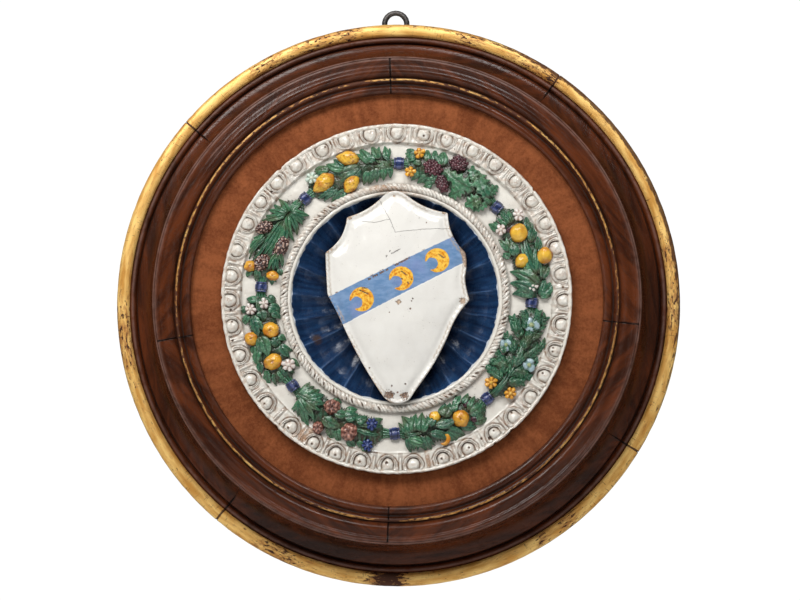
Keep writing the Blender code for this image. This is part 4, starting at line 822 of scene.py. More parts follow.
# One tuple a leaf: kind, foot (degrees clockwise, mm from the centre), tip, width in mm
bundles = (
    {"span": (3.4, 45.0), "tint": 0.45, "leaves": (
        ("plain", 7.5, 221, 3.6, 233, 10.7), ("plain", 8, 219, 3.8, 221, 7.8),
        ("plain", 10.9, 212, 6.4, 212, 7), ("plain", 13.5, 215, 11.8, 239, 8.9),
        ("plain", 16.4, 217, 14.6, 241, 8.9), ("plain", 19.5, 217, 17.2, 241, 9.7),
        ("toothed", 19.8, 193, 10.3, 188, 12), ("plain", 17.8, 185, 13.5, 178, 7.8),
        ("plain", 10.9, 196, 7.3, 184, 7.8), ("plain", 14.4, 194, 10.3, 181, 7.8),
        ("vine", 40.2, 212, 32.1, 234, 29.1), ("vine", 42.2, 212, 42.4, 235, 16.3),
        ("vine", 35, 215, 30.1, 238, 16.3), ("vine", 40.5, 202, 36.7, 178, 25.2),
        ("vine", 44.5, 203, 41.4, 179, 14), ("vine", 32.1, 199, 27, 178, 21.7),
        ("vine", 43.5, 208, 32.5, 222, 20), ("broad", 36.3, 205, 20.9, 212, 24.5),
        ("blade", 45.6, 208, 39.6, 207, 3.9),
        ("blade", 45.6, 205, 39.6, 203, 3.5))},
    {"span": (50.5, 90.0), "tint": 0.2, "leaves": (
        ("needle", 57.4, 212, 51.3, 217, 4.3), ("needle", 57.4, 210, 51, 211, 4.3),
        ("needle", 57.4, 206, 51, 205, 4.3), ("needle", 57.4, 214, 52, 221, 4.3),
        ("needle", 57.4, 203, 51.7, 199, 4.7), ("plain", 63.4, 228, 57.7, 239, 8.9),
        ("plain", 68, 224, 62.5, 244, 10.1), ("plain", 71.5, 229, 66, 242, 8.9),
        ("blade", 80.7, 223, 63.7, 221, 11.2), ("blade", 81.8, 217, 66, 210, 9.7),
        ("plain", 83, 226, 77.2, 243, 11.6), ("plain", 89.7, 220, 83.9, 245, 15.1),
        ("plain", 90, 221, 87.3, 242, 8.9), ("plain", 71.5, 195, 63.6, 197, 14),
        ("plain", 68, 188, 60.3, 182, 8.9), ("plain", 57.4, 188, 51.3, 183, 9.7),
        ("plain", 71.2, 186, 67.3, 179, 8.9), ("blade", 85.8, 221, 77.2, 180, 17.8),
        ("blade", 87.8, 215, 82.5, 178, 16.7), ("plain", 89.7, 213, 88.5, 179, 13.6),
        ("plain", 81.5, 212, 76.3, 202, 9.7))},
    {"span": (95.0, 135.3), "tint": 0.1, "leaves": (
        ("sprig", 126.7, 211, 109.5, 208, 11.6), ("sprig", 125, 214, 114.7, 237, 12),
        ("sprig", 117, 217, 107.2, 239, 11.6), ("sprig", 108.9, 216, 97.7, 232, 11.6),
        ("sprig", 125.6, 206, 118.7, 177, 12), ("sprig", 115.8, 202, 108.9, 178, 11.6),
        ("sprig", 108.9, 202, 99.8, 181, 11.6), ("sprig", 122.1, 213, 121, 239, 10.8),
        ("sprig", 127.3, 215, 123.9, 234, 9.7), ("sprig", 127.9, 207, 127.3, 176, 10.8),
        ("sprig", 122.1, 202, 123.6, 175, 9.7), ("sprig", 113, 211, 104.4, 212, 9.7),
        ("sprig", 104.9, 215, 95.7, 221, 8.9), ("sprig", 104.4, 207, 96.9, 198, 8.9),
        ("toothed", 121, 209, 110.1, 207, 9.7), ("toothed", 117.6, 188, 111.8, 178, 8.9),
        ("blade", 135.9, 214, 124.4, 212, 3.5), ("blade", 136.2, 211, 123.9, 210, 3.5),
        ("blade", 136.2, 208, 124.4, 207, 3.5), ("needle", 107.2, 194, 99.8, 186, 4.3),
        ("needle", 106.6, 190, 100, 179, 4.3), ("needle", 106.1, 196, 99.5, 192, 4.3))},
    {"span": (140.5, 178.4), "tint": 0.15, "leaves": (
        ("plain", 148, 224, 142.9, 232, 12), ("plain", 148, 221, 143.1, 219, 9.7),
        ("plain", 154, 222, 147.9, 238, 9.7), ("plain", 159.2, 218, 153.3, 239, 13.6),
        ("plain", 161.5, 222, 157.6, 240, 9.7), ("plain", 148.1, 211, 141.2, 210, 11.6),
        ("toothed", 147.5, 207, 141.5, 194, 8.9), ("plain", 148.3, 192, 143.1, 184, 7.8),
        ("plain", 152.3, 189, 146.5, 181, 8.9), ("plain", 153.4, 197, 150.7, 180, 8.1),
        ("plain", 158.6, 197, 153, 182, 13.6), ("plain", 159.7, 193, 156.5, 180, 9.7),
        ("plain", 168.4, 216, 166.8, 241, 8.9), ("plain", 170.5, 215, 169, 241, 8.9),
        ("blade", 174.5, 211, 169.7, 237, 9.3), ("plain", 175.2, 215, 174.5, 240, 8.9),
        ("blade", 169.5, 211, 167.2, 181, 13.6), ("blade", 172.4, 209, 170.3, 181, 12),
        ("blade", 173.5, 211, 177.5, 183, 15.5), ("blade", 176.7, 212, 168.1, 211, 5.4),
        ("plain", 165.8, 205, 161.2, 188, 8.5), ("plain", 163.2, 205, 153.8, 209, 12),
        ("plain", 166.3, 215, 160.3, 234, 9.7))},
    {"span": (185.2, 225.9), "tint": 0.3, "leaves": (
        ("needle", 197.8, 214, 186, 221, 5.8), ("needle", 197.2, 210, 185.5, 211, 5.8),
        ("needle", 197.2, 204, 186.2, 201, 5.8), ("toothed", 193.5, 233, 188, 241, 9.7),
        ("plain", 195.5, 230, 191.2, 240, 8.9), ("plain", 199.2, 232, 195.2, 241, 10.1),
        ("plain", 204.4, 222, 201.1, 240, 10.1), ("toothed", 208.1, 224, 204, 241, 13.6),
        ("plain", 191.8, 201, 186.2, 188, 10.1), ("plain", 197.9, 201, 193.7, 188, 12),
        ("plain", 203.2, 202, 197.1, 191, 14.7), ("plain", 208.4, 201, 201.7, 194, 12),
        ("plain", 204.4, 188, 198.9, 182, 8.1), ("plain", 212.1, 186, 207, 182, 8.1),
        ("blade", 221.6, 215, 213.8, 241, 10.5), ("blade", 221.9, 215, 216.7, 241, 9.3),
        ("blade", 222.5, 215, 219.6, 238, 9.3), ("blade", 222.9, 214, 223.2, 236, 8.5),
        ("plain", 222.6, 209, 219.6, 184, 11.6), ("plain", 223.2, 209, 222.7, 186, 9.3),
        ("plain", 223.7, 211, 225.6, 186, 9.3), ("plain", 220.5, 205, 216.6, 186, 11.6),
        ("blade", 226.2, 215, 220.2, 214, 3.9), ("blade", 226.2, 211, 219.6, 211, 3.9),
        ("blade", 226.2, 208, 220.2, 208, 3.9), ("plain", 211.5, 216, 203, 216, 15),
        ("plain", 221, 211, 213.4, 198, 11.0), ("plain", 224.5, 213, 214.5, 224, 9.5),
        ("blade", 225.5, 212, 216.0, 203, 8.0))},
    {"span": (232.5, 272.0), "tint": 0.3, "leaves": (
        ("toothed", 238.3, 221, 233.4, 229, 6.2), ("toothed", 238.3, 215, 232.4, 215, 6.2),
        ("toothed", 238.3, 208, 232.9, 205, 6.2), ("toothed", 237.7, 201, 233.4, 195, 6.2),
        ("toothed", 241.1, 228, 235, 239, 10.1), ("plain", 244.6, 230, 239.6, 241, 9.7),
        ("plain", 249.2, 226, 243.6, 241, 11.6), ("plain", 251.5, 232, 248.3, 241, 8.1),
        ("toothed", 263.5, 230, 260.3, 242, 12), ("toothed", 266.4, 233, 264.4, 242, 8.1),
        ("toothed", 251.5, 203, 247, 193, 13.6), ("plain", 248, 191, 240.7, 188, 10.8),
        ("plain", 240, 188, 234.4, 183, 8.1), ("plain", 252.4, 189, 248.9, 182, 8.9),
        ("plain", 264.4, 211, 259.7, 208, 14), ("plain", 266.4, 196, 262.5, 182, 15.5),
        ("plain", 263, 194, 259.7, 182, 10.1), ("plain", 270, 198, 268.4, 186, 10.1),
        ("plain", 269, 213, 269.6, 232, 9.7), ("blade", 270, 212, 262.7, 211, 4.7),
        ("blade", 270, 209, 262.7, 208, 4.7), ("plain", 254, 217, 245, 218, 16.5),
        ("toothed", 262.7, 223, 253.5, 221, 15.5))},
    {"span": (277.0, 315.3), "tint": 0.35, "leaves": (
        ("plain", 281.2, 226, 278.2, 239, 8.1), ("plain", 281.8, 220, 276.6, 215, 8.1),
        ("plain", 281.2, 198, 275.7, 194, 8.9), ("plain", 284.1, 186, 280.8, 182, 7.8),
        ("needle", 295.3, 223, 285, 243, 4.7), ("needle", 294.7, 221, 284.1, 237, 4.7),
        ("needle", 294.7, 226, 287.2, 244, 4.7), ("needle", 295.3, 227, 289.8, 244, 4.7),
        ("needle", 295.8, 227, 292.4, 244, 4.7), ("needle", 294.1, 219, 283.8, 232, 4.3),
        ("needle", 304.7, 213, 286.8, 224, 8.1), ("needle", 304.4, 212, 286.9, 217, 8.1),
        ("needle", 304.7, 211, 288.3, 210, 8.1), ("needle", 304.7, 209, 289.6, 202, 8.1),
        ("needle", 304.4, 207, 291.4, 196, 7.4), ("needle", 307, 213, 299.7, 243, 8.5),
        ("needle", 306.7, 213, 302.1, 243, 8.5), ("needle", 307, 213, 304.6, 242, 8.5),
        ("needle", 307.6, 212, 307.4, 241, 8.5), ("needle", 308.2, 212, 310.1, 240, 8.5),
        ("needle", 307.6, 211, 298.9, 181, 8.5), ("needle", 307.9, 211, 302.1, 182, 8.5),
        ("needle", 308.2, 211, 305.1, 184, 8.5), ("needle", 308.5, 211, 308, 184, 8.5),
        ("needle", 309, 211, 310.6, 186, 8.5), ("needle", 309.6, 211, 313.5, 186, 8.5),
        ("needle", 290.4, 196, 282.3, 202, 5.4), ("needle", 290.1, 195, 281.9, 194, 5.4),
        ("needle", 290.4, 194, 282.6, 186, 5.4), ("needle", 290.7, 193, 285, 183, 5.4),
        ("needle", 291, 192, 287.9, 184, 5.4), ("blade", 315.9, 214, 306.7, 213, 3.9),
        ("blade", 315.9, 211, 306.7, 211, 3.9), ("blade", 315.9, 208, 307.3, 208, 3.9))},
    {"span": (320.8, 358.4), "tint": 0.25, "leaves": (
        ("plain", 332.6, 225, 326.5, 239, 10.8), ("blade", 338.3, 216, 332.3, 238, 13.6),
        ("blade", 344.9, 209, 333.3, 212, 14.7), ("blade", 344.1, 203, 333.4, 201, 10.1),
        ("blade", 348.9, 212, 346.1, 241, 12.8), ("plain", 350.7, 211, 348.1, 228, 8.1),
        ("blade", 353, 216, 350.7, 242, 10.1), ("blade", 356.2, 215, 355.6, 239, 8.9),
        ("toothed", 331.1, 196, 321.8, 196, 8.1), ("toothed", 332.3, 189, 323.3, 188, 8.1),
        ("plain", 335.2, 186, 326.7, 183, 8.9), ("plain", 347.5, 202, 343.8, 183, 8.9),
        ("plain", 350.5, 202, 346.9, 182, 8.1), ("plain", 352.8, 203, 350.5, 182, 8.1),
        ("plain", 355.1, 203, 353.8, 183, 8.1), ("plain", 356.8, 205, 357, 186, 8.1),
        ("toothed", 357.4, 209, 351.5, 215, 6.2), ("toothed", 357.8, 207, 350.4, 207, 6.2),
        ("toothed", 357.8, 205, 351.5, 199, 6.2), ("toothed", 357.4, 211, 354.4, 223, 6.2),
        ("blade", 358.1, 209, 352.7, 210, 4.7))},
)
# Fruits and flowers: kind, degrees clockwise, mm from the centre, half length along the ring and
# half width across it in mm, tilt in degrees, which turns the long side outwards
fruits = (
    ("lemon", 328.0, 211, 17.5, 13.0, 8), ("lemon", 341.2, 229, 16, 11.5, -25),
    ("lemon", 338.6, 190, 14.5, 11.0, 30),
    ("quince", 61.9, 216, 17.5, 14.5, -60), ("quince", 74.0, 236, 14.5, 13.5, 60),
    ("quince", 73.5, 201, 13.2, 12.2, 40), ("quince", 161.8, 192, 11.5, 9.0, 40),
    ("orange", 152.0, 211, 13, 13.5, 0), ("orange", 242.4, 214, 12, 14.5, 0),
    ("orange", 254.1, 232, 10.5, 10.5, 0), ("orange", 255.4, 200, 12.5, 12.8, 0),
    ("orange", 282.2, 231, 9, 9, 0), ("orange", 280.0, 194, 7.6, 10, 0),
    ("pomegranate", 199.2, 219, 12.5, 14, 0), ("pomegranate", 210.9, 233, 8.5, 10, 0),
    ("pomegranate", 210.2, 195, 13, 11.5, 20),
    ("plum", 147.4, 222, 5.8, 5.8, 0), ("plum", 146.6, 197, 6.5, 5.0, 0), ("plum", 59.1, 203, 4.6, 4.6, 0),
    ("plum", 289.5, 200, 5.0, 4.6, 0), ("peel", 161.5, 229, 10.0, 11.0, 150),
    ("cone", 284.4, 215, 15.5, 11.5, -30), ("cone", 298.0, 232, 14.5, 9.5, -40),
    ("cone", 293.9, 195, 18.5, 11.0, 6),
    ("grapes", 25.0, 229, 15.5, 13.5, 0), ("grapes", 15.8, 209, 17.5, 13.5, -20),
    ("grapes", 22.0, 190, 16, 9.5, -52),
)
flowers = (  # colour name, degrees clockwise, mm from the centre, radius in mm, petals
    ("yellow", 9.2, 227, 7.6, 5), ("yellow", 6.4, 196, 7.6, 5), ("white", 56.0, 228, 8.4, 6),
    ("white", 57.3, 192, 7.6, 5), ("white", 85.4, 210, 8.0, 6), ("paleBlue", 101.8, 212, 10.5, 3),
    ("paleBlue", 117.2, 229, 9.0, 3), ("paleBlue", 113.6, 184, 8.5, 3), ("yellow", 130.2, 229, 8.4, 6),
    ("yellow", 132.1, 196, 8.8, 6), ("blue", 190.9, 231, 8.0, 7), ("blue", 190.7, 198, 8.2, 7),
    ("white", 237.7, 195, 9.2, 6), ("white", 265.3, 225, 7.8, 6), ("white", 267.3, 204, 7.2, 5),
    ("paleGreen", 324.8, 227, 8.6, 6),
)


def moundHeight(turn, radius):  # the garland's body over the ground: a low arch across, full inside
    s = garlandShape
    across = np.clip(1 - ((radius - s["middle"]) / s["halfWidth"]) ** 2, 0, 1) ** 0.75
    inside = np.zeros(np.shape(turn))
    for bundle in bundles:
        first, last = bundle["span"]
        ends = easeIn(turn, first - 1.5, first + 5) * easeIn(-turn, -last - 1.0, -last + 6)
        inside = np.maximum(inside, ends)
    return tondoShape["ground"] + s["rise"] * across * (0.28 + 0.72 * inside)


# Rows of points, the power that moves the widest place along the leaf, side veins, how far it
# arches, how deep and how many its teeth are, and the power that rounds its ends
leafForms = {
    "plain": {"rows": 23, "swell": 0.76, "veins": 5, "crown": 0.26, "teeth": 0.0, "point": 0.80},
    "blade": {"rows": 15, "swell": 0.66, "veins": 0, "crown": 0.36, "teeth": 0.0, "point": 0.80},
    "needle": {"rows": 9, "swell": 0.60, "veins": 0, "crown": 0.48, "teeth": 0.0, "point": 0.60},
    "toothed": {"rows": 27, "swell": 0.74, "veins": 5, "crown": 0.26, "teeth": 0.30, "lobes": 4.5,
                "point": 0.72},
    "vine": {"rows": 37, "swell": 0.86, "veins": 4, "crown": 0.18, "teeth": 0.46, "lobes": 3.6,
             "point": 0.62},
    "broad": {"rows": 43, "swell": 0.80, "veins": 5, "crown": 0.20, "teeth": 0.42, "lobes": 4.6,
              "point": 0.62},
}


def addLeaf(heap, leaf, lift, tint, bend, roll):
    # A closed strip: the spine runs from foot to tip with a bend, the half width is
    # w (sin(pi u^k))^s, and the section is an arch with a groove along its midrib and slanting side
    # veins, walls down to the ground and a flat underside
    kind, footTurn, foot, tipTurn, tip, width = leaf
    form = leafForms[kind]
    u = np.linspace(0.0, 1.0, form["rows"])[:, None]
    start, end = (np.array(onRing(t, r / 1000)) for t, r in ((footTurn, foot), (tipTurn, tip)))
    length = np.linalg.norm(end - start)
    along = (end - start) / length
    aside = np.array([-along[1], along[0]])
    spine = start + along * u * length + aside * 4 * u * (1 - u) * bend * length
    slope = along * length + aside * 4 * (1 - 2 * u) * bend * length
    across = np.stack([-slope[:, 1], slope[:, 0]], axis=1)
    across /= np.linalg.norm(across, axis=1)[:, None]
    half = np.clip(np.sin(np.pi * u ** form["swell"]), 0, 1) ** form["point"]
    if form["teeth"]:
        half = half * (1 - form["teeth"] * np.abs(np.cos(np.pi * form["lobes"] * u)) ** 1.4)
    half = np.maximum(half, 0.05) * width * garlandShape["fuller"] / 2000
    s = np.array([-0.80, -1.0, -0.82, -0.54, -0.25, 0.0, 0.25, 0.54, 0.82, 1.0, 0.80])[None, :]
    x, up = (spine[:, i, None] + across[:, i, None] * s * half for i in (0, 1))
    turn, radius = np.degrees(np.arctan2(x, up)) % 360, np.hypot(x, up)
    arch = np.clip(1 - np.abs(s) ** 2.0, 0, 1) * (1 - 0.72 * bump(s, 0, 0.14))
    slanted = (form["veins"] * (u - 0.26 * np.abs(s))) % 1
    feather = 2 * np.abs(2 * slanted - 1) ** 0.7 - 1 if form["veins"] else 0 * u * s
    curl = 0.0018 * np.sin(np.pi * u * 1.15 + 0.3) - (0.0030 - 0.0040 * abs(roll)) * u ** 3
    h = moundHeight(turn, radius) + lift + curl + roll * s * half
    h = h + form["crown"] * half * (arch + 0.26 * feather * (np.abs(s) > 0.1) * (np.abs(s) < 0.9))
    h[:, 0] = h[:, -1] = tondoShape["ground"] - 0.0012
    rim = np.broadcast_to(np.array([0.6, 0.9, 0.6, 0, 0, 0, 0, 0, 0.6, 0.9, 0.6])[None, :], h.shape)
    # The walls down to the ground and each leaf's foot get cavity: painted shade under and between the
    # leaves, dark enough on the walls to read as holes
    wall = np.array([1.4, 0.50, 0, 0, 0, 0, 0, 0, 0, 0.50, 1.4])[None, :] + 0 * h
    # shoulder and rim lead to a pale green: thinner glaze over the ridges, and a painted highlight
    shoulder = bump(np.abs(s), 0.38, 0.28) * (0.42 + 0.50 * feather) * np.sin(np.pi * u) ** 0.5
    heap.add(wallPoint(x, up, h), closeColumns=True, caps=True, tint=np.full(h.shape, tint),
             vein=bump(s, 0, 0.12) + 0.4 * np.clip(-feather, 0, 1) + 0 * h, ridge=shoulder + 0.9 * rim,
             cavity=np.clip(wall + 0.75 * (1 - easeIn(u, 0, 0.20)), 0, 1.2), edge=0.35 * rim)


def buildLeaves():
    heap = Heap("tint", "vein", "ridge", "cavity", "edge")
    chance = np.random.default_rng(17)
    for bundle in bundles:
        leaves = []
        for kind, footTurn, foot, tipTurn, tip, width in bundle["leaves"]:
            if kind != "sprig":
                leaves.append((kind, footTurn, foot, tipTurn, tip, width))
                continue
            for step in np.linspace(0.10, 0.95, 8):  # leaflets in pairs along the sprig, then its tip
                at = (footTurn + (tipTurn - footTurn) * step, foot + (tip - foot) * step)
                reach = width * (1.35 - 0.5 * step)
                way = math.degrees(math.atan2(tip - foot, (tipTurn - footTurn) * 3.6))
                for side in (-38, 38):
                    turnTo = math.radians(way + side + chance.uniform(-9, 9))
                    leaves.append(("needle", *at, at[0] + reach * math.cos(turnTo) / 3.6,
                                   at[1] + reach * math.sin(turnTo), 3.9))
            leaves.append(("needle", footTurn, foot, tipTurn, tip, 4.4))
        crowd = []
        for kind, footTurn, foot, tipTurn, tip, width in leaves:
            if width > 7.5 and kind in ("plain", "blade", "toothed"):  # a slimmer leaf beside it, below
                swing = chance.choice((-1, 1)) * chance.uniform(0.30, 0.48)
                perDegree = garlandShape["perDegree"]
                over, far = (tipTurn - footTurn) * perDegree, tip - foot
                across = (over * math.cos(swing) - far * math.sin(swing)) * 0.88 / perDegree
                outwards = (far * math.cos(swing) + over * math.sin(swing)) * 0.88
                crowd.append((kind, footTurn, foot, footTurn + across, foot + outwards, width * 0.66))
            crowd.append((kind, footTurn, foot, tipTurn, tip, width))
        for index, leaf in enumerate(crowd):
            share = index / len(crowd)
            lift = garlandShape["firstLift"] + garlandShape["layerLift"] * share
            tint = bundle["tint"] + chance.uniform(-0.35, 0.45) + 0.35 * (leaf[0] == "broad")
            addLeaf(heap, leaf, lift + chance.uniform(0, 0.0010), float(np.clip(tint, 0, 1)),
                    chance.uniform(-0.11, 0.11), chance.uniform(-0.32, 0.32))
    material, w, shader = newMaterial("copperGreenGlaze", IOR=1.52, Specular_IOR_Level=0.65)
    point = w.objectPoint()
    green = w.mix(w.mark("tint"), (0.008, 0.092, 0.052), (0.052, 0.200, 0.092))
    drift = w.noise(point, 42.0, 3.0)
    green = w.mix(w.span(drift, 0.50, 0.66, 0.0, 0.62), green, (0.080, 0.080, 0.034))
    fleck = w.noise(point, 260.0, 3.0, 0.6)
    # Pale green along shoulders, side veins and rims: thinner glaze, and a painted highlight
    pale = w.math("MULTIPLY", w.mark("ridge"), w.span(fleck, 0.40, 0.62), clamp=True)
    green = w.mix(w.math("MULTIPLY", pale, 0.62), green, (0.26, 0.48, 0.29))
    green = w.mix(w.math("MULTIPLY", w.mark("vein"), 0.62), green, (0.022, 0.034, 0.016))
    made = w.group(tinGlaze, Colour=green, Deep=(0.040, 0.026, 0.012), Clay=(0.22, 0.135, 0.070), Patchy=0.20,
                   Cavity=w.mark("cavity"), Edge=w.mark("edge"), Wear=0.65, Pinholes=0.1)
    finishShader(w, shader, 0.0022, Height=made["Height"], Base_Color=made["Colour"],
                 Roughness=made["Roughness"])
    place("garland_leaves", heap.mesh("garland_leaves", sharp=60), material, "glazed_relief")
    return material


def buildBed(material):
    # The body under the leaves: an arch across the ring whose edge wavers like leaf tips, four round
    # stems through each ribbon, and one ribbed pod
    heap = Heap("tint", "vein", "ridge", "cavity", "edge")
    for index, bundle in enumerate(bundles):
        first, last = bundle["span"]
        turn = np.linspace(first - 1.0, last + 0.5, 140)[:, None]
        s = np.array([-0.97, -1.0, -0.8, -0.55, -0.28, 0, 0.28, 0.55, 0.8, 1.0, 0.97])[None, :]
        ends = easeIn(turn, first - 1.0, first + 4) * easeIn(-turn, -last - 0.5, -last + 5)
        phase = turn * 2.1 + index
        waver = 0.82 + 0.10 * np.sin(phase * 2.7) + 0.08 * np.sin(phase * 5.3 + 1)
        half = 0.0245 * (0.30 + 0.70 * ends) * np.where(s > 0, waver, waver[::-1])
        r = garlandShape["middle"] + s * half
        h = moundHeight(turn + 0 * s, r) - 0.0002
        x, up = onRing(turn + 0 * s, r)
        lumps = ripple(wallPoint(x, up, h), 0.008, 91 + index)
        h = h + 0.0009 * lumps
        h[:, 0] = h[:, -1] = tondoShape["ground"] - 0.0012
        heap.add(wallPoint(x, up, h), closeColumns=True, caps=True, tint=0.1 + 0 * h,
                 ridge=np.clip(0.4 * lumps, 0, 1), cavity=np.clip(0.55 - 0.3 * lumps, 0, 1),
                 edge=0.3 + 0 * h)
    a = np.radians(np.arange(0, 360, 45))[None, :]
    for ribbon in garlandShape["ribbons"]:
        turn = np.linspace(ribbon - 5.0, ribbon + 5.0, 13)[:, None]
        for side in (-1.5, -0.5, 0.5, 1.5):
            spread = 1 + 0.55 * ((turn - ribbon) / 5.0) ** 2
            middle = garlandShape["middle"] + side * 0.0029 * spread
            thick = 0.0019
            r = middle + thick * np.cos(a)
            h = tondoShape["ground"] + 0.0034 - 0.0007 * side ** 2 + thick * np.sin(a) + 0 * turn
            x, up = onRing(turn + 0 * a, r)
            # Each stem is darker underneath: painted shade
            heap.add(wallPoint(x, up, h), closeColumns=True, caps=True, tint=0.35 + 0 * h,
                     ridge=0.5 * np.clip(np.sin(a), 0, 1) + 0 * h,
                     cavity=np.clip(0.5 - 0.6 * np.sin(a), 0, 1) + 0 * h, edge=0.2 + 0 * h)
    turn, radius, long, wide, tilt = garlandShape["pod"]
    ax, ay, az = ballPoints(22, 60)
    ribs = np.cos(9 * np.arctan2(az, ay))
    swell = 1 + 0.055 * ribs
    grid = standOn(turn, radius / 1000, tilt, tondoShape["ground"] + 0.0110, ax * long / 1000,
                   ay * wide / 1000 * swell, np.clip(az, -0.6, 1) * 0.0072 * swell)
    # The pod is darker underneath: painted shade
    heap.add(grid, closeColumns=True, caps=True, tint=0.9 + 0 * ax, ridge=1.2 * easeIn(ribs, 0.0, 0.8),
             vein=easeIn(-ribs, 0.2, 0.9), cavity=0.9 * easeIn(-az, -0.15, 0.4), edge=0.3 + 0 * ax)
    place("garland_bed", heap.mesh("garland_bed"), material, "glazed_relief")


def ballPoints(rows, columns):  # latitudes just short of both poles, round the long axis
    v = np.linspace(0.10, math.pi - 0.10, rows)[:, None]
    u = np.linspace(0, math.tau, columns, endpoint=False)[None, :]
    return np.cos(v) + 0 * u, np.sin(v) * np.cos(u), np.sin(v) * np.sin(u)


def standOn(turn, radius, tilt, height, long, wide, deep):
    # Local axes (long, wide, out) in metres set on the ring at this turn: long runs clockwise
    # along it, tilted outwards
    t, k = math.radians(turn), math.radians(tilt)
    x0, up0 = onRing(turn, radius)
    along, outward = (math.cos(t), -math.sin(t)), (math.sin(t), math.cos(t))
    a = long * math.cos(k) - wide * math.sin(k)
    b = long * math.sin(k) + wide * math.cos(k)
    return wallPoint(x0 + a * along[0] + b * outward[0], up0 + a * along[1] + b * outward[1],
                     height + deep)


def fruitHeight(small):  # a fruit is half sunk in the leaves
    return tondoShape["ground"] + 0.0058 + 0.16 * small


def buildFruits():
    # Each is an ellipsoid whose radius is changed along its axis: lemons swell to a nib, quinces
    # narrow to the stalk, oranges and plums dip at the eye, pomegranates open in a ragged crown. The
    # peel is a tapered tube bent round: its middle line is (R cos a, R sin a)
    heaps = {kind: Heap("cavity", "edge", "tint") for kind in ("lemon", "orange", "pomegranate", "plum")}
    for index, (kind, turn, radius, long, wide, tilt) in enumerate(fruits):
        if kind in ("cone", "grapes"):
            continue
        long, wide = long / 1000, wide / 1000
        height = fruitHeight(min(long, wide))
        if kind == "peel":
            u = np.linspace(0.02, 0.98, 30)[:, None]
            v = np.linspace(0, math.tau, 16, endpoint=False)[None, :]
            a, thick = (u - 0.5) * 4.2, 0.34 * wide * np.sin(np.pi * u) ** 0.7
            reach = 0.72 + thick / wide * np.cos(v)
            grid = standOn(turn, radius / 1000, tilt, height + 0.002, reach * long * np.cos(a),
                           reach * wide * np.sin(a), thick * np.sin(v) - 0.001)
            heaps["orange"].add(grid, closeColumns=True, caps=True, edge=0.3 + 0 * a * v,
                                cavity=easeIn(-np.sin(v), -0.2, 0.4) + 0 * u,
                                tint=0.45 + 0.3 * np.cos(3 * a) + 0 * v)
            continue
        deep = 0.90 * min(long, wide)
        ax, ay, az = ballPoints(30, 36)
        points = np.stack([ax, ay, az], axis=-1)
        lumps = ripple(points, 1.1, 101 + index) * 0.045 + ripple(points, 0.45, 161 + index) * 0.018
        # shade turns each fruit's sides and lower parts toward its tint colour: painted shade
        shade = easeIn(ripple(points, 1.3, 181 + index) + 1.6 * (0.90 - az), 0.2, 1.6)
        cavity, tint = 0 * ax, 0.85 * shade
        swell = 1 + lumps
        if kind == "lemon":
            dimples = ripple(points, 0.28, 121 + index)
            swell = swell + dimples * 0.022
            ax = ax * 0.95 + np.where(ax < 0, -0.26, 0.12) * np.abs(ax) ** 9
            cavity = 0.75 * easeIn(dimples, 0.5, 1.2) * easeIn(az, 0.0, 0.5)
        if kind == "quince":
            swell = swell * (1 - 0.34 * easeIn(-ax, -0.1, 1.0))
            cavity = 0.6 * bump(ax, 1.0, 0.10)
        if kind in ("orange", "plum", "pomegranate"):
            eye = np.sqrt(ay ** 2 + ax ** 2) + (az < 0) * 9
            around = np.arctan2(ay, ax)
            star = bump(eye, 0, 0.20 + 0.09 * np.cos(5 * around + index))
            depth = {"orange": 0.20, "plum": 0.10, "pomegranate": 0.42}[kind]
            swell = swell - depth * star
            cavity = 1.0 * star
            if kind == "pomegranate":
                petals = np.cos(6 * around + index) + 0.6 * ripple(points, 0.5, 191 + index)
                crown = bump(eye, 0.46, 0.20) * easeIn(petals, -0.6, 0.5)
                creases = np.cos(8 * around + 1.5 * ripple(points, 0.9, 195 + index))
                swell = swell + 0.30 * crown + 0.045 * creases * easeIn(eye, 0.5, 0.8)
                cavity = cavity + 0.9 * bump(eye, 0.46, 0.22) * easeIn(-petals, 0.0, 0.7)
                cavity = cavity + 0.5 * easeIn(-creases, 0.3, 0.9) * easeIn(eye, 0.55, 0.8)
                tint = 1.0 * crown + 0.9 * easeIn(creases + 0.6 * ripple(points, 0.4, 197), 0.3, 1.2)
        out = np.clip(az, -0.6, 1) * deep * swell
        grid = standOn(turn, radius / 1000, tilt, height, ax * long * swell, ay * wide * swell, out)
        # low paints shade on the half of each fruit that faces the wall
        low = easeIn(-az, -0.25, 0.25)
        heaps[{"quince": "lemon"}.get(kind, kind)].add(
            grid, closeColumns=True, caps=True, cavity=np.clip(np.maximum(cavity, low), 0, 1),
            edge=0.25 + 0 * ax, tint=np.clip(tint, 0, 1))
    rust = (0.22, 0.070, 0.018)
    finishes = {
        "lemon": glazeMaterial("lemonGlaze", (0.84, 0.50, 0.050), rust, patchy=0.36, wear=0.4,
                               pinholes=1.0, tint=(0.60, 0.215, 0.018), depth=0.0018),
        "orange": glazeMaterial("orangeGlaze", (0.84, 0.43, 0.035), rust, patchy=0.46, wear=0.3,
                                pinholes=0.9, tint=(0.60, 0.180, 0.012), depth=0.0018),
        "pomegranate": glazeMaterial("pomegranateGlaze", (0.235, 0.080, 0.060), (0.045, 0.013, 0.010),
                                     clay=(0.60, 0.40, 0.31), patchy=0.35, wear=0.9,
                                     tint=(0.60, 0.31, 0.235), depth=0.0018),
        "plum": glazeMaterial("plumGlaze", (0.050, 0.012, 0.022), (0.012, 0.004, 0.008), patchy=0.3,
                              wear=0.3, tint=(0.09, 0.03, 0.05))}
    names = {"lemon": "garland_lemons", "orange": "garland_oranges",
             "pomegranate": "garland_pomegranates", "plum": "garland_plums"}
    for kind, heap in heaps.items():
        place(names[kind], heap.mesh(names[kind]), finishes[kind], "glazed_relief")


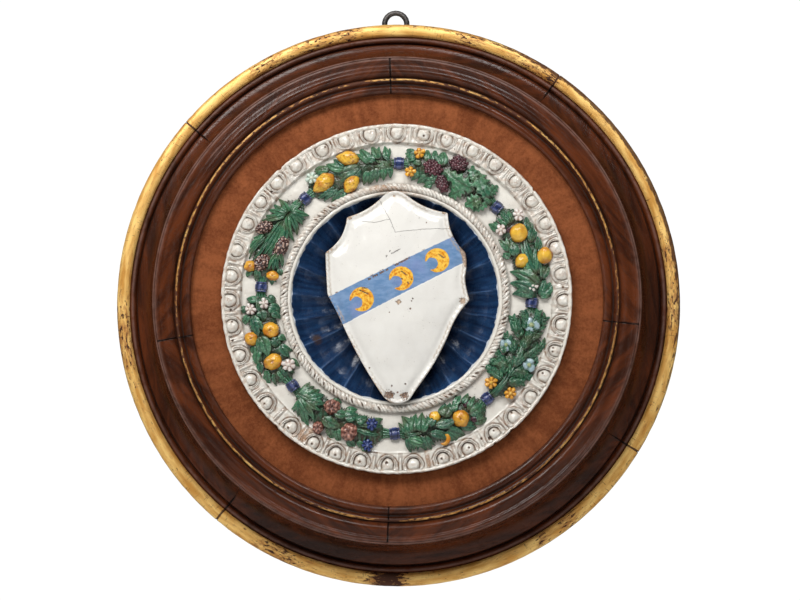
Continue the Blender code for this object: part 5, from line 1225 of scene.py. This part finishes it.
def buildGrapesAndCones():
    # Grapes: small balls on a spiral over a dome. Cones: an ellipsoid whose scales lift in a
    # lattice, sin(4a + 4.6v) times sin(4a - 4.6v)
    grapes, cones = Heap("cavity", "edge", "tint"), Heap("cavity", "edge", "tint")
    chance = np.random.default_rng(23)
    ax, ay, az = ballPoints(9, 12)
    for index, (kind, turn, radius, long, wide, tilt) in enumerate(fruits):
        long, wide = long / 1000, wide / 1000
        if kind == "grapes":
            count = 30
            spiral = np.arange(count) * 2.39996
            away = np.sqrt((np.arange(count) + 0.5) / count)
            for turnTo, far in zip(spiral, away):
                size = 0.0030 + chance.uniform(0, 0.0007)
                at = (math.cos(turnTo) * far * long * 0.84, math.sin(turnTo) * far * wide * 0.84)
                lift = 0.0085 * math.sqrt(max(0, 1 - 0.85 * far ** 2)) + chance.uniform(0, 0.0012)
                grid = standOn(turn, radius / 1000, tilt, tondoShape["ground"] + 0.0050,
                               at[0] + ax * size, at[1] + ay * size, lift + az * size)
                # Each berry is darker underneath, a painted shade, and a random share lighter on top, a
                # painted highlight
                grapes.add(grid, closeColumns=True, caps=True, cavity=easeIn(-az, -0.60, 0.20),
                           edge=0.2 + 0 * ax, tint=chance.uniform(0, 1) * easeIn(az, 0.2, 0.9))
        if kind == "cone":
            bx, by, bz = ballPoints(64, 60)
            v, around = np.arccos(bx), np.arctan2(bz, by)
            astray = np.stack([bx, by, bz], axis=-1)
            v = v + 0.16 * ripple(astray, 0.9, 131 + index)
            around = around + 0.16 * ripple(astray, 0.8, 141 + index)
            lattice = np.sin(4 * around + 4.6 * v) * np.sin(4 * around - 4.6 * v)
            scale = np.abs(lattice) ** 0.8
            swell = 0.84 + 0.24 * scale + 0.10 * bx
            out = np.clip(bz, -0.5, 1) * wide * swell * 0.95
            grid = standOn(turn, radius / 1000, tilt, fruitHeight(wide), bx * long * (0.92 + 0.10 * scale),
                           by * wide * swell, out)
            # cavity: darker between the scales, and on the underside a painted shade
            cones.add(grid, closeColumns=True, caps=True,
                      cavity=np.clip(np.maximum(1.2 * (1 - scale) ** 1.6, easeIn(-bz, -0.2, 0.3)), 0, 1),
                      edge=0.4 * scale,
                      tint=easeIn(scale + 0.22 * ripple(astray, 0.35, 151 + index), 0.60, 0.95))
    place("garland_grapes", grapes.mesh("garland_grapes"), glazeMaterial(
        "grapeGlaze", (0.042, 0.009, 0.014), (0.007, 0.002, 0.004), patchy=0.3, wear=0.3,
        tint=(0.125, 0.034, 0.045)), "glazed_relief")
    place("garland_cones", cones.mesh("garland_cones"), glazeMaterial(
        "coneGlaze", (0.100, 0.032, 0.024), (0.022, 0.008, 0.006), clay=(0.55, 0.40, 0.32), patchy=0.2,
        wear=0.6, tint=(0.62, 0.43, 0.35)), "glazed_relief")


def buildFlowers():
    # A rosette: its outline is R (1 - d |cos(n a / 2)|^7), its height a low dome with a round boss
    looks = {
        "white": ((0.74, 0.69, 0.65), (0.44, 0.29, 0.24), (0.80, 0.75, 0.68)),
        "yellow": ((0.78, 0.38, 0.035), (0.33, 0.11, 0.02), (0.86, 0.52, 0.08)),
        "blue": ((0.030, 0.055, 0.20), (0.008, 0.012, 0.06), (0.10, 0.14, 0.34)),
        "paleBlue": ((0.35, 0.47, 0.52), (0.10, 0.20, 0.16), (0.36, 0.42, 0.20)),
        "paleGreen": ((0.58, 0.68, 0.60), (0.28, 0.36, 0.26), (0.70, 0.74, 0.62))}
    for colour, (petal, deep, heart) in looks.items():
        heap = Heap("cavity", "edge", "tint")
        for index, (kind, turn, radius, size, petals) in enumerate(flowers):
            if kind != colour:
                continue
            a = np.linspace(0, math.tau, 96, endpoint=False)[None, :]
            u = np.array([0.04, 0.16, 0.28, 0.38, 0.50, 0.64, 0.78, 0.90, 1.0, 0.96, 0.90])[:, None]
            size = size / 1000
            notch = np.abs(np.cos(petals * a / 2 + index)) ** 7
            uneven = 1 + 0.07 * np.sin(2 * a + index) + 0.05 * np.sin(3 * a + 2 * index)
            r = 1.12 * size * u * uneven * (1 - 0.20 * notch * easeIn(u, 0.3, 1.0))
            h = 0.0052 * np.sqrt(np.clip(1 - 0.85 * u ** 2, 0, 1)) + 0.0020 * bump(u, 0, 0.24)
            h = h - 0.0020 * notch * easeIn(u, 0.22, 0.5) - 0.0016 * bump(u, 0.33, 0.07)
            curl = 0.0009 * np.sin(3 * a + index) + 0.0013 * np.abs(np.sin(petals * a / 2 + index))
            h = h + curl * u ** 2
            h[-2:] = np.array([-0.004, -0.009])[:, None]
            grid = standOn(turn, radius / 1000, 0, moundHeight(turn, radius / 1000) + 0.0046,
                           r * np.cos(a), r * np.sin(a), h)
            skirt = (u > 0.95) | (np.arange(11)[:, None] > 8)
            # The rows under the petals' edge get full cavity, painted shade underneath; the notches between
            # petals and the ring round the boss are darker too
            heap.add(grid, closeColumns=True, caps=True, tint=easeIn(-u, -0.40, -0.30) + 0 * a,
                     cavity=np.clip(0.8 * notch * easeIn(u, 0.25, 0.6) + 0.8 * bump(u, 0.34, 0.06)
                                    + (np.arange(11)[:, None] > 8), 0, 1),
                     edge=0.6 * skirt + 0.2 + 0 * a)
        name = "garland_flowers_" + colour
        place(name, heap.mesh(name), glazeMaterial(colour + "FlowerGlaze", petal, deep, patchy=0.25,
                                                   wear=0.4, tint=heart), "glazed_relief")


def buildRibbons():
    # A barrel round the stems: half an ellipse across the ring, pinched at its ends, with folds that
    # run along it: the radius changes by sin(6a), and a line is pressed in near each end
    heap = Heap("cavity", "edge", "tint")
    for index, turn in enumerate(garlandShape["ribbons"]):
        u = np.linspace(-1, 1, 25)[:, None]
        a = np.radians(np.linspace(-12, 192, 61))[None, :]
        folds = np.sin(6 * a + 0.9 * u * np.sin(index * 1.7) + index)
        pressed = bump(np.abs(u), 0.66, 0.13)
        girth = (1.0 - 0.10 * np.abs(u) ** 2.5) * (1 + 0.030 * folds) - 0.09 * pressed
        wide, deep = 0.0100 * girth, 0.0098 * girth
        grid = standOn(turn, garlandShape["middle"], 7 * math.sin(index * 2.1),
                       tondoShape["ground"] + 0.0006, 0.0076 * u + 0 * a, wide * np.cos(a),
                       deep * np.sin(a))
        # hollow paints shade in the folds, the pressed lines and the underside; tint paints a lilac highlight
        # on the folds' crests and near the ends
        hollow = 0.6 * easeIn(-folds, 0.1, 0.9) + 0.7 * pressed + 0.6 * (np.sin(a) < 0.1)
        heap.add(grid, closeColumns=True, caps=True, cavity=np.clip(hollow, 0, 1),
                 edge=0.8 * easeIn(np.abs(u), 0.85, 1.0) + 0 * a,
                 tint=np.clip(easeIn(folds, 0.3, 0.9) + 0.8 * bump(np.abs(u), 0.90, 0.08), 0, 1))
    place("garland_ribbons", heap.mesh("garland_ribbons"), glazeMaterial(
        "ribbonGlaze", (0.020, 0.040, 0.140), (0.005, 0.009, 0.036), patchy=0.35, wear=0.5,
        tint=(0.105, 0.125, 0.280), clay=(0.40, 0.36, 0.40)), "glazed_relief")


# Shield

shieldShape = {
    "edge": 0.0985, "thick": 0.0095, "dome": 0.0108, "lip": 0.0016, "bossRadius": 0.0440,
    "bossFoot": 0.0503,
    "corners": (
        (-0.0219, 0.1543, 0.0085), (0.0166, 0.1574, -0.0052), (0.0800, 0.1300, -0.0072),
        (0.1067, 0.0681, 0.0020), (0.1060, 0.0311, -0.0015), (0.1132, -0.0051, -0.0030),
        (0.0829, -0.0521, 0.0030), (0.0382, -0.1321, -0.0005), (0.0213, -0.1568, 0.0085),
        (-0.0188, -0.1537, 0.0028), (-0.0804, -0.0459, -0.0005), (-0.1053, 0.0034, 0.0003),
        (-0.1089, 0.0688, -0.0080), (-0.0758, 0.1235, -0.0045)),
    # painted work, in photo-plane millimetres from the shield's centre (x right, z up)
    "bendUpper": ((-97.6, 2.9), (85.3, 91.6)), "bendLower": ((-76.5, -40.3), (102.7, 51.6)),
    "crescents": ((-52.2, -4.2), (8.3, 27.3), (63.3, 55.6)), "crescentRadius": 18.6,
    "bites": ((-8.0, -5.2, 9.0), (-14.2, -9.0, 7.6)),  # shift right, shift up, radius
    "moonStrokes": ((-55, 9.5, -43, 3.8), (-51, 13.0, -44.5, 12.2), (8.6, 38.0, 16.8, 32.8),
                    (9.0, 27.4, 10.0, 26.6), (18.6, 21.4, 19.4, 19.4), (23.6, 26.5, 24.2, 25.5),
                    (66.0, 64.6, 73.4, 59.8)),
    "darkEdge": ((-41.0, 26.5, -39.5, 27.0), (-23.5, 35.2, -18.0, 38.5), (-14.0, 40.0, -12.5, 41.0),
                 (0.0, 48.0, 20.5, 59.0), (-34, 30.2, -29, 32.6)),
    "tornEdge": (101.0, 77.0, 107.5, 50.0),
    "cracks": ((-25, 149.7, -16, 131), (-16, 131, -8, 117), (-8, 117, -1, 98.9), (-1, 98.9, 40, 103.5),
               (40, 103.5, 81.3, 105), (-55.7, 117.3, -32.6, 114.2), (-32.6, 114.2, -9.5, 119)),
    "strokes": ((-14.6, 60.6, -13.2, 63.0), (-9.6, 69.0, -8.6, 70.4), (-6.6, 65.4, -5.4, 67.0),
                (-4.4, 66.4, -2.2, 67.8), (-1.0, 68.4, 1.8, 70.4), (2.2, 69.6, 3.6, 71.8),
                (4.0, 71.0, 6.6, 72.6)),
    "chips": ((4.4, -9.3, 4.6, 0), (25.6, -3.8, 1.8, 1), (24.0, -7.4, 1.2, 1), (-9.5, -24.3, 1.5, 1),
              (22.4, -19.0, 2.0, 1), (-6.5, -136.5, 1.8, 1), (14.5, -133.5, 2.0, 1),
              (-6.0, -150.0, 3.0, 0), (8.0, -149.5, 2.5, 0), (2.5, -146.5, 1.8, 1),
              (-40.3, -109.0, 1.5, 1), (-10.0, -150.5, 8.5, 1), (12.5, -151.0, 7.5, 1),
              (-71.9, 122.0, 4.2, 0), (73.6, 129.7, 3.4, 0), (-105.0, 69.6, 3.6, 0),
              (103.1, -6.4, 6.5, 0), (-99.0, 73.0, 2.5, 0), (-3.0, 156.0, 2.5, 0), (27.0, 152.0, 2.5, 0),
              (46.8, 113.8, 1.2, 1), (35.8, 121.2, 0.9, 1), (-68.0, -72.0, 1.8, 1)),
}


def shieldOutline(count):
    # The outline's points, evenly spaced along arcs that swell by 4 s (1 - s) b between corners
    corners = np.array(shieldShape["corners"])
    far = np.roll(corners, -1, axis=0)
    chord = far[:, :2] - corners[:, :2]
    side = np.stack([-chord[:, 1], chord[:, 0]], axis=1) / np.linalg.norm(chord, axis=1)[:, None]
    s = np.linspace(0, 1, 40, endpoint=False)[None, :, None]
    points = (corners[:, None, :2] + chord[:, None] * s
              + side[:, None] * 4 * s * (1 - s) * corners[:, None, 2:]).reshape(-1, 2)
    closed = np.concatenate([points, points[:1]])
    along = np.concatenate([[0], np.cumsum(np.linalg.norm(np.diff(closed, axis=0), axis=1))])
    at = np.linspace(0, along[-1], count, endpoint=False)
    even = np.stack([np.interp(at, along, closed[:, i]) for i in (0, 1)], axis=1)
    softened = even.copy()
    for _ in range(2):  # rounds the corners a little, as the glaze does
        softened = 0.5 * softened + 0.25 * (np.roll(softened, 1, axis=0) + np.roll(softened, -1, axis=0))
    return softened


def buildShield(finish):
    # Scaled copies of the outline: a dome in the middle, a hollow and a raised lip near the edge,
    # a rounded rim and a hollow back down to the boss
    s = shieldShape
    outline = shieldOutline(420)
    top = s["edge"] + s["thick"]
    scale = np.concatenate([np.linspace(0.004, 0.80, 26), np.linspace(0.82, 0.985, 24)])
    x, up = (outline[None, :, i] * scale[:, None] for i in (0, 1))
    spots = np.stack([x, up], axis=-1)
    gap = np.linalg.norm(spots[:, :, None] - outline[None, None, ::4], axis=-1).min(axis=-1)
    rise = s["dome"] * (1 - scale ** 2.1)[:, None]
    body = rise * easeIn(gap, 0.0, 0.020)
    lip = s["lip"] * bump(gap, 0.0025, 0.0030) - 0.0010 * bump(gap, 0.0090, 0.0040)
    h = top - 0.0012 + body + lip
    flat = wallPoint(x, up, h)
    h = h + ripple(flat, 0.06, 111) * 0.0006 + ripple(flat, 0.018, 112) * 0.00016
    rim = [(0.994, top - 0.0006), (1.0, top - 0.0028), (1.0, s["edge"] + 0.0022),
           (0.993, s["edge"] + 0.0004), (0.975, s["edge"]), (0.93, s["edge"] + 0.0012),
           (0.60, s["edge"] + 0.0060)]
    rx, rup = (np.stack([outline[:, i] * k for k, _ in rim]) for i in (0, 1))
    rh = np.stack([np.full(len(outline), v) for _, v in rim])
    angle = np.arctan2(outline[:, 0], outline[:, 1])
    boss = [(s["bossRadius"], s["edge"] + 0.0072), (s["bossRadius"], s["bossFoot"])]
    bx, bup = (np.stack([r * way for r, _ in boss]) for way in (np.sin(angle), np.cos(angle)))
    bh = np.stack([np.full(len(outline), v) for _, v in boss])
    grid = wallPoint(np.concatenate([x, rx, bx]), np.concatenate([up, rup, bup]),
                     np.concatenate([h, rh, bh]))
    edge = np.concatenate([bump(gap, 0.0012, 0.0022), np.ones(rx.shape), np.zeros(bx.shape)])
    # under paints shade on the rim's underside and the back down to the boss, and a shadow line inside the
    # raised lip
    under = np.concatenate([np.zeros(x.shape), easeIn(np.arange(7)[:, None] + 0 * rx, 2, 5) * 0.7,
                            np.ones(bx.shape) * 0.8])
    heap = Heap("cavity", "edge")
    under[:len(gap)] = 0.75 * bump(gap, 0.0056, 0.0013) * easeIn(ripple(flat, 0.05, 113), -1.2, 0.6)
    heap.add(grid, closeColumns=True, caps=True, edge=edge, cavity=under)
    place("shield_glazed", heap.mesh("shield_glazed", sharp=60), finish, "white_glaze", "shield")


def shieldMaterial():
    # White glaze with a painted band and crescents, fine cracks, chips and short dry strokes. Every
    # mark is a distance in millimetres, read from Object coordinates shaken by a little noise
    s = shieldShape
    material, w, shader = newMaterial("shieldGlaze", IOR=1.52, Specular_IOR_Level=0.36)
    apart = w.node("ShaderNodeSeparateXYZ", {0: w.stretch(w.objectPoint(), (1000.0, 1000.0, 1000.0))})
    rawX, rawZ = apart.outputs[0], apart.outputs[2]
    shake = w.node("ShaderNodeTexNoise", {"Vector": w.objectPoint(), "Scale": 190.0, "Detail": 3.0})
    shift = w.node("ShaderNodeSeparateColor", {0: shake.outputs["Color"]})
    x = w.math("ADD", rawX, w.math("MULTIPLY", w.math("SUBTRACT", shift.outputs[0], 0.5), 2.2))
    z = w.math("ADD", rawZ, w.math("MULTIPLY", w.math("SUBTRACT", shift.outputs[1], 0.5), 2.2))

    def sideOf(a, b):  # how far the point lies above the line a to b
        length = math.hypot(b[0] - a[0], b[1] - a[1])
        nx, nz = -(b[1] - a[1]) / length, (b[0] - a[0]) / length
        dot = w.math("ADD", w.math("MULTIPLY", x, nx), w.math("MULTIPLY", z, nz))
        return w.math("SUBTRACT", dot, a[0] * nx + a[1] * nz)

    def farFrom(cx, cz):
        dx, dz = w.math("SUBTRACT", x, cx), w.math("SUBTRACT", z, cz)
        return w.math("SQRT", w.math("ADD", w.math("MULTIPLY", dx, dx), w.math("MULTIPLY", dz, dz)))

    def farFromLine(x0, z0, x1, z1):
        length = math.hypot(x1 - x0, z1 - z0)
        ux, uz = (x1 - x0) / length, (z1 - z0) / length
        dx, dz = w.math("SUBTRACT", x, x0), w.math("SUBTRACT", z, z0)
        along = w.math("ADD", w.math("MULTIPLY", dx, ux), w.math("MULTIPLY", dz, uz))
        cross = w.math("SUBTRACT", w.math("MULTIPLY", dx, uz), w.math("MULTIPLY", dz, ux))
        aside = w.math("ABSOLUTE", cross)
        past = w.math("SUBTRACT", w.math("ABSOLUTE", w.math("SUBTRACT", along, length / 2)), length / 2)
        return w.math("MAXIMUM", aside, past)

    def most(masks):
        total = masks[0]
        for mask in masks[1:]:
            total = w.math("MAXIMUM", total, mask)
        return total

    above, below = sideOf(*s["bendUpper"]), sideOf(*s["bendLower"])
    bend = w.math("MULTIPLY", w.span(above, -0.6, 0.6, 1.0, 0.0), w.span(below, -0.6, 0.6))
    moons, moonLines = [], []
    for cx, cz in s["crescents"]:
        moon = w.span(farFrom(cx, cz), s["crescentRadius"] - 0.5, s["crescentRadius"] + 0.5, 1.0, 0.0)
        for right, up, radius in s["bites"]:
            bite = farFrom(cx + right, cz + up)
            moon = w.math("MULTIPLY", moon, w.span(bite, radius - 0.5, radius + 0.5))
        moons.append(moon)
        for wide in (10.2, 15.4):
            ring = w.math("ABSOLUTE", w.math("SUBTRACT", farFrom(cx - 1.5, cz - 1.0), wide))
            moonLines.append(w.span(ring, 0.4, 2.0, 1.0, 0.0))
    moon = most(moons)
    brush = w.noise(w.stretch(w.objectPoint(), (60.0, 60.0, 130.0)), 1.0, 4.0, 0.6)
    soft = w.noise(w.objectPoint(), 20.0, 3.0)
    white = w.mix(w.span(soft, 0.35, 0.7, 0.0, 0.5), (0.785, 0.768, 0.725), (0.725, 0.708, 0.675))
    blue = w.mix(w.span(brush, 0.35, 0.68), (0.122, 0.235, 0.420), (0.200, 0.320, 0.52))
    blue = w.mix(w.span(soft, 0.50, 0.68, 0.0, 0.45), blue, (0.215, 0.255, 0.52))
    dabs = w.noise(w.objectPoint(), 210.0, 3.0, 0.65)
    gold = w.mix(w.span(dabs, 0.36, 0.62), (0.76, 0.32, 0.018), (0.92, 0.57, 0.080))
    gold = w.mix(w.math("MULTIPLY", most(moonLines), w.span(dabs, 0.40, 0.58, 0.9, 0.15)), gold,
                 (0.58, 0.17, 0.010))
    colour = w.mix(bend, white, blue)
    outlineMoon = w.math("MULTIPLY", bend, w.span(moon, 0.02, 0.5))
    colour = w.mix(w.math("MULTIPLY", outlineMoon, 0.75), colour, (0.55, 0.30, 0.06))
    colour = w.mix(w.math("MULTIPLY", moon, w.span(moon, 0.5, 0.95)), colour, gold)
    # A lighter line along the band's lower edge: a painted highlight on a step that is not modelled
    bendStepHighlight = w.math("MULTIPLY", w.span(w.math("ABSOLUTE", w.math("ADD", below, 0.9)), 0.4, 1.1, 1.0, 0.0),
                    w.span(soft, 0.3, 0.6, 0.3, 0.9))
    colour = w.mix(bendStepHighlight, colour, (0.83, 0.82, 0.80))
    cracks = w.math("MULTIPLY", most([w.span(farFromLine(*line), 0.10, 0.42, 1.0, 0.0)
                                      for line in s["cracks"]]), 0.85)
    strokes = w.math("MULTIPLY", most([w.span(farFromLine(*line), 0.30, 0.85, 1.0, 0.0)
                                       for line in s["strokes"]]), w.span(shift.outputs[2], 0.30, 0.5))
    nick = w.noise(w.objectPoint(), 330.0, 3.0, 0.6)
    dark, tan = ([w.span(w.math("ADD", farFrom(cx, cz), w.math("MULTIPLY", nick, radius * 2.2)),
                         radius * 1.72, radius * 1.95, 1.0, 0.0)
                  for cx, cz, radius, isDark in s["chips"] if isDark == kind] for kind in (1, 0))
    edgeLine = w.math("MULTIPLY", w.span(w.math("ABSOLUTE", above), 0.5, 1.7, 1.0, 0.0),
                      w.span(w.noise(w.objectPoint(), 75.0, 3.0, 0.7), 0.56, 0.66))
    inMoon = w.math("MULTIPLY", most([w.span(farFromLine(*line), 0.5, 1.5, 1.0, 0.0)
                                      for line in s["moonStrokes"]]), w.span(nick, 0.36, 0.50))
    alongEdge = w.math("MULTIPLY", most([w.span(farFromLine(*line), 0.8, 1.9, 1.0, 0.0)
                                         for line in s["darkEdge"]]), w.span(nick, 0.34, 0.48))
    torn = w.span(w.math("ADD", farFromLine(*s["tornEdge"]), w.math("MULTIPLY", nick, 5.0)), 5.6, 6.4,
                  1.0, 0.0)
    chips = w.math("MAXIMUM", w.math("MAXIMUM", most(dark), alongEdge),
                   w.math("MAXIMUM", edgeLine, inMoon))
    made = w.group(tinGlaze, Colour=colour, Deep=(0.42, 0.34, 0.26), Clay=(0.56, 0.38, 0.24), Patchy=0.05,
                   Cavity=w.mark("cavity"), Edge=w.mark("edge"), Wear=0.75, Pinholes=0.35)
    pale = w.math("MAXIMUM", most(tan), torn)
    biscuit = w.mix(w.span(nick, 0.42, 0.62), (0.30, 0.20, 0.135), (0.60, 0.42, 0.27))
    colour = w.mix(w.math("MULTIPLY", pale, 0.9), made["Colour"], biscuit)
    scar = w.mix(w.span(w.noise(w.objectPoint(), 700.0, 2.0), 0.42, 0.60), (0.055, 0.034, 0.024),
                 (0.30, 0.150, 0.080))
    colour = w.mix(w.math("MULTIPLY", chips, 0.9), colour, scar)
    lines = w.math("MAXIMUM", cracks, strokes)
    colour = w.mix(w.math("MULTIPLY", lines, 0.8), colour, (0.13, 0.11, 0.10))
    broken = w.math("MAXIMUM", w.math("MAXIMUM", chips, pale), lines)
    finishShader(w, shader, 0.0010, Base_Color=colour,
                 Roughness=w.math("ADD", w.math("MULTIPLY", made["Roughness"], 0.8),
                                  w.math("MULTIPLY", broken, 0.45), clamp=True),
                 Height=w.math("SUBTRACT", w.math("MULTIPLY", made["Height"], 0.5), broken))
    return material


# Hanging loop

loopShape = {"x": -0.0030, "crownUp": 0.4535, "radius": 0.0180, "bar": 0.0045, "out": 0.0050,
             "foot": 0.4060, "plate": (0.0520, 0.0300, 0.0040), "plateUp": 0.4020, "plateBack": 0.0045,
             "screwX": 0.0150, "screwUp": 0.3960, "head": 0.0044, "headHigh": 0.0028}


def buildLoop():
    # The bar's centre line goes up one leg, over a half circle and down the other; its section is a
    # circle. The plate is a slab with rounded corners, and the screw heads are low domes with a slot
    s = loopShape
    a = np.radians(np.linspace(0, 180, 41))
    legs = np.linspace(s["foot"], s["crownUp"], 12, endpoint=False)
    x = s["x"] + np.concatenate([np.full(12, s["radius"]), s["radius"] * np.cos(a),
                                 np.full(12, -s["radius"])])
    up = np.concatenate([legs, s["crownUp"] + s["radius"] * np.sin(a), legs[::-1]])
    ways = np.gradient(np.stack([x, up], axis=1), axis=0)
    ways /= np.linalg.norm(ways, axis=1)[:, None]
    b = np.linspace(0, math.tau, 20, endpoint=False)[None, :]
    bar = s["bar"] * (1 - 0.03 * np.sin(np.arange(len(x)) * 1.7))[:, None]
    bar = bar * (1 - 0.06 * bump(up, s["crownUp"] + s["radius"], 0.004)[:, None])
    grid = wallPoint(x[:, None] + ways[:, 1:] * bar * np.cos(b),
                     up[:, None] - ways[:, :1] * bar * np.cos(b), s["out"] + bar * 0.97 * np.sin(b))
    heap = Heap("rub")
    rub = bump(up, s["crownUp"] + s["radius"], 0.010)[:, None] + 0 * b
    heap.add(grid, closeColumns=True, caps=True, rub=rub)
    wide, tall, thick = s["plate"]
    c = np.radians(np.arange(0, 360, 6))
    square = np.maximum(np.abs(np.cos(c)) ** 6 + np.abs(np.sin(c)) ** 6, 1e-6) ** (-1 / 6)
    px, pup = np.cos(c) * square * wide / 2, np.sin(c) * square * tall / 2
    rows = [(0.985, 0.0), (1.0, 0.0005), (1.0, thick - 0.0005), (0.985, thick)]
    heap.add(np.stack([wallPoint(s["x"] + px * k, s["plateUp"] + pup * k, s["plateBack"] + h)
                       for k, h in rows]), closeColumns=True, caps=True, rub=0)
    material, w, shader = newMaterial("forgedIron", IOR=2.2)
    pits = w.noise(w.objectPoint(), 520.0, 5.0, 0.65)
    rust = w.span(w.noise(w.objectPoint(), 130.0, 4.0, 0.6), 0.52, 0.70)
    rubbed = w.math("MULTIPLY", w.mark("rub"), w.span(pits, 0.34, 0.58))
    iron = w.mix(w.math("MULTIPLY", rust, 0.6), (0.016, 0.013, 0.012), (0.055, 0.024, 0.015))
    iron = w.mix(w.math("MULTIPLY", rubbed, 0.55), iron, (0.13, 0.115, 0.105))
    finishShader(w, shader, 0.0006, Height=pits, Base_Color=iron,
                 Metallic=w.span(rust, 0, 1, 0.75, 0.25), Roughness=w.span(rust, 0, 1, 0.42, 0.75))
    place("hanging_loop_forged", heap.mesh("hanging_loop_forged", sharp=50), material, "iron",
          "hanging_loop")
    for side, label in ((-1, "left"), (1, "right")):
        heap = Heap("rub")
        r = np.array([0.0022, 0.0022, 0.0044, 0.00445, 0.0042, 0.0036, 0.0024, 0.0011, 0.0003])[:, None]
        out = np.array([0.0200, 0.0042, 0.0042, 0.0034, 0.0024, 0.0019, 0.0016, 0.0015, 0.0015])[:, None]
        d = np.linspace(0, math.tau, 36, endpoint=False)[None, :]
        out = out + 0.0009 * (np.abs(r * np.sin(d + 0.5 * side)) < 0.0005) * (out < 0.0030)
        grid = wallPoint(s["x"] + side * s["screwX"] + r * np.cos(d), s["screwUp"] + r * np.sin(d), out)
        heap.add(grid, closeColumns=True, caps=True, rub=0.3)
        name = "loop_screw_" + label + "_head"
        place(name, heap.mesh(name, sharp=35), material, "iron", "loop_screw_" + label)


# Camera, lights and floor

stageShape = {
    "target": (0.0041, -0.012, 0.0023), "distance": 2.3, "right": 1.27, "below": 4.41, "lens": 64.7,
    "floorUp": -0.75, "floorRadius": 1.6,
    # name: place, power in watts, size in metres, colour
    "lights": {
        "keyUpperLeft": ((-1.05, -2.2, 1.85), 66, (1.2, 1.2), (1.0, 0.985, 0.96)),
        "upperRight": ((0.55, -2.3, 2.0), 33, (0.9, 0.9), (0.98, 0.99, 1.0)),
        "lowRight": ((0.95, -2.2, -1.55), 38, (1.5, 1.0), (1.0, 0.99, 0.97)),
        "lowLeft": ((-0.7, -2.2, -1.6), 29, (1.5, 1.0), (1.0, 0.99, 0.97))},
}


def buildStage():
    s = stageShape
    around, below = math.radians(s["right"]), math.radians(s["below"])
    target = Vector(s["target"])
    away = Vector((math.sin(around) * math.cos(below), -math.cos(around) * math.cos(below),
                   -math.sin(below)))
    camera = bpy.data.objects.new("camera", bpy.data.cameras.new("camera"))
    bpy.context.scene.collection.objects.link(camera)
    camera.location = target + away * s["distance"]
    camera.rotation_euler = (-away).to_track_quat("-Z", "Y").to_euler()
    camera.data.lens = s["lens"]
    camera.data.sensor_width = 36.0
    bpy.context.scene.camera = camera
    for name, (at, watts, size, colour) in s["lights"].items():
        data = bpy.data.lights.new(name, "AREA")
        data.shape, data.size, data.size_y = "RECTANGLE", *size
        data.energy, data.color = watts, colour
        lamp = bpy.data.objects.new(name, data)
        bpy.context.scene.collection.objects.link(lamp)
        lamp.location = at
        lamp.rotation_euler = (target - Vector(at)).to_track_quat("-Z", "Y").to_euler()
    world = bpy.data.worlds.new("paleStudio")
    bpy.context.scene.world = world
    world.use_nodes = True
    w = Wiring(world.node_tree)
    background = world.node_tree.nodes["Background"]
    seen = w.node("ShaderNodeLightPath").outputs["Is Camera Ray"]
    w.tree.links.new(w.span(seen, 0, 1, 0.17, 1.05, False), background.inputs["Strength"])
    background.inputs["Color"].default_value = (1.0, 1.0, 1.0, 1.0)
    turn = np.linspace(0, math.tau, 96, endpoint=False)[None, :]
    r = np.array([0.01, 0.8, s["floorRadius"], s["floorRadius"]])[:, None]
    depth = np.array([0, 0, 0, 0.02])[:, None]
    heap = Heap()
    heap.add(np.stack([r * np.cos(turn), r * np.sin(turn), s["floorUp"] - depth + 0 * turn], axis=-1),
             closeColumns=True, caps=True)
    floor = bpy.data.objects.new("floor", heap.mesh("floor", sharp=30))
    bpy.context.scene.collection.objects.link(floor)
    paper, w, shader = newMaterial("paleFloor", Roughness=0.9, Specular_IOR_Level=0.1)
    speck = w.noise(w.objectPoint(), 400.0, 2.0)
    finishShader(w, shader, 0.0002, Height=speck,
                 Base_Color=w.mix(speck, (0.86, 0.86, 0.86), (0.90, 0.90, 0.895)))
    floor.data.materials.append(paper)
    view = bpy.context.scene.view_settings
    view.view_transform, view.look = "Standard", "None"
    view.exposure, view.gamma = 0.0, 1.0


buildStage()
print("camera, lights and floor set")
buildFrame()
print("frame segments turned")
buildBackboard()
buildVelvet()
print("backboard and velvet laid")
whiteGlaze = glazeMaterial("whiteTinGlaze", (0.765, 0.735, 0.67), (0.125, 0.070, 0.040), patchy=0.08,
                           clay=(0.40, 0.235, 0.14), wear=0.6, pinholes=0.6, readsStainAndShadow=True)
for build in (buildLip, buildEggs, buildGround, buildRope, buildFillet):
    build(whiteGlaze)
buildDish()
print("tondo rings and dish moulded")
leafGlaze = buildLeaves()
buildBed(leafGlaze)
buildFruits()
buildGrapesAndCones()
buildFlowers()
buildRibbons()
print("garland set")
buildShield(shieldMaterial())
buildLoop()
print("shield and loop set")
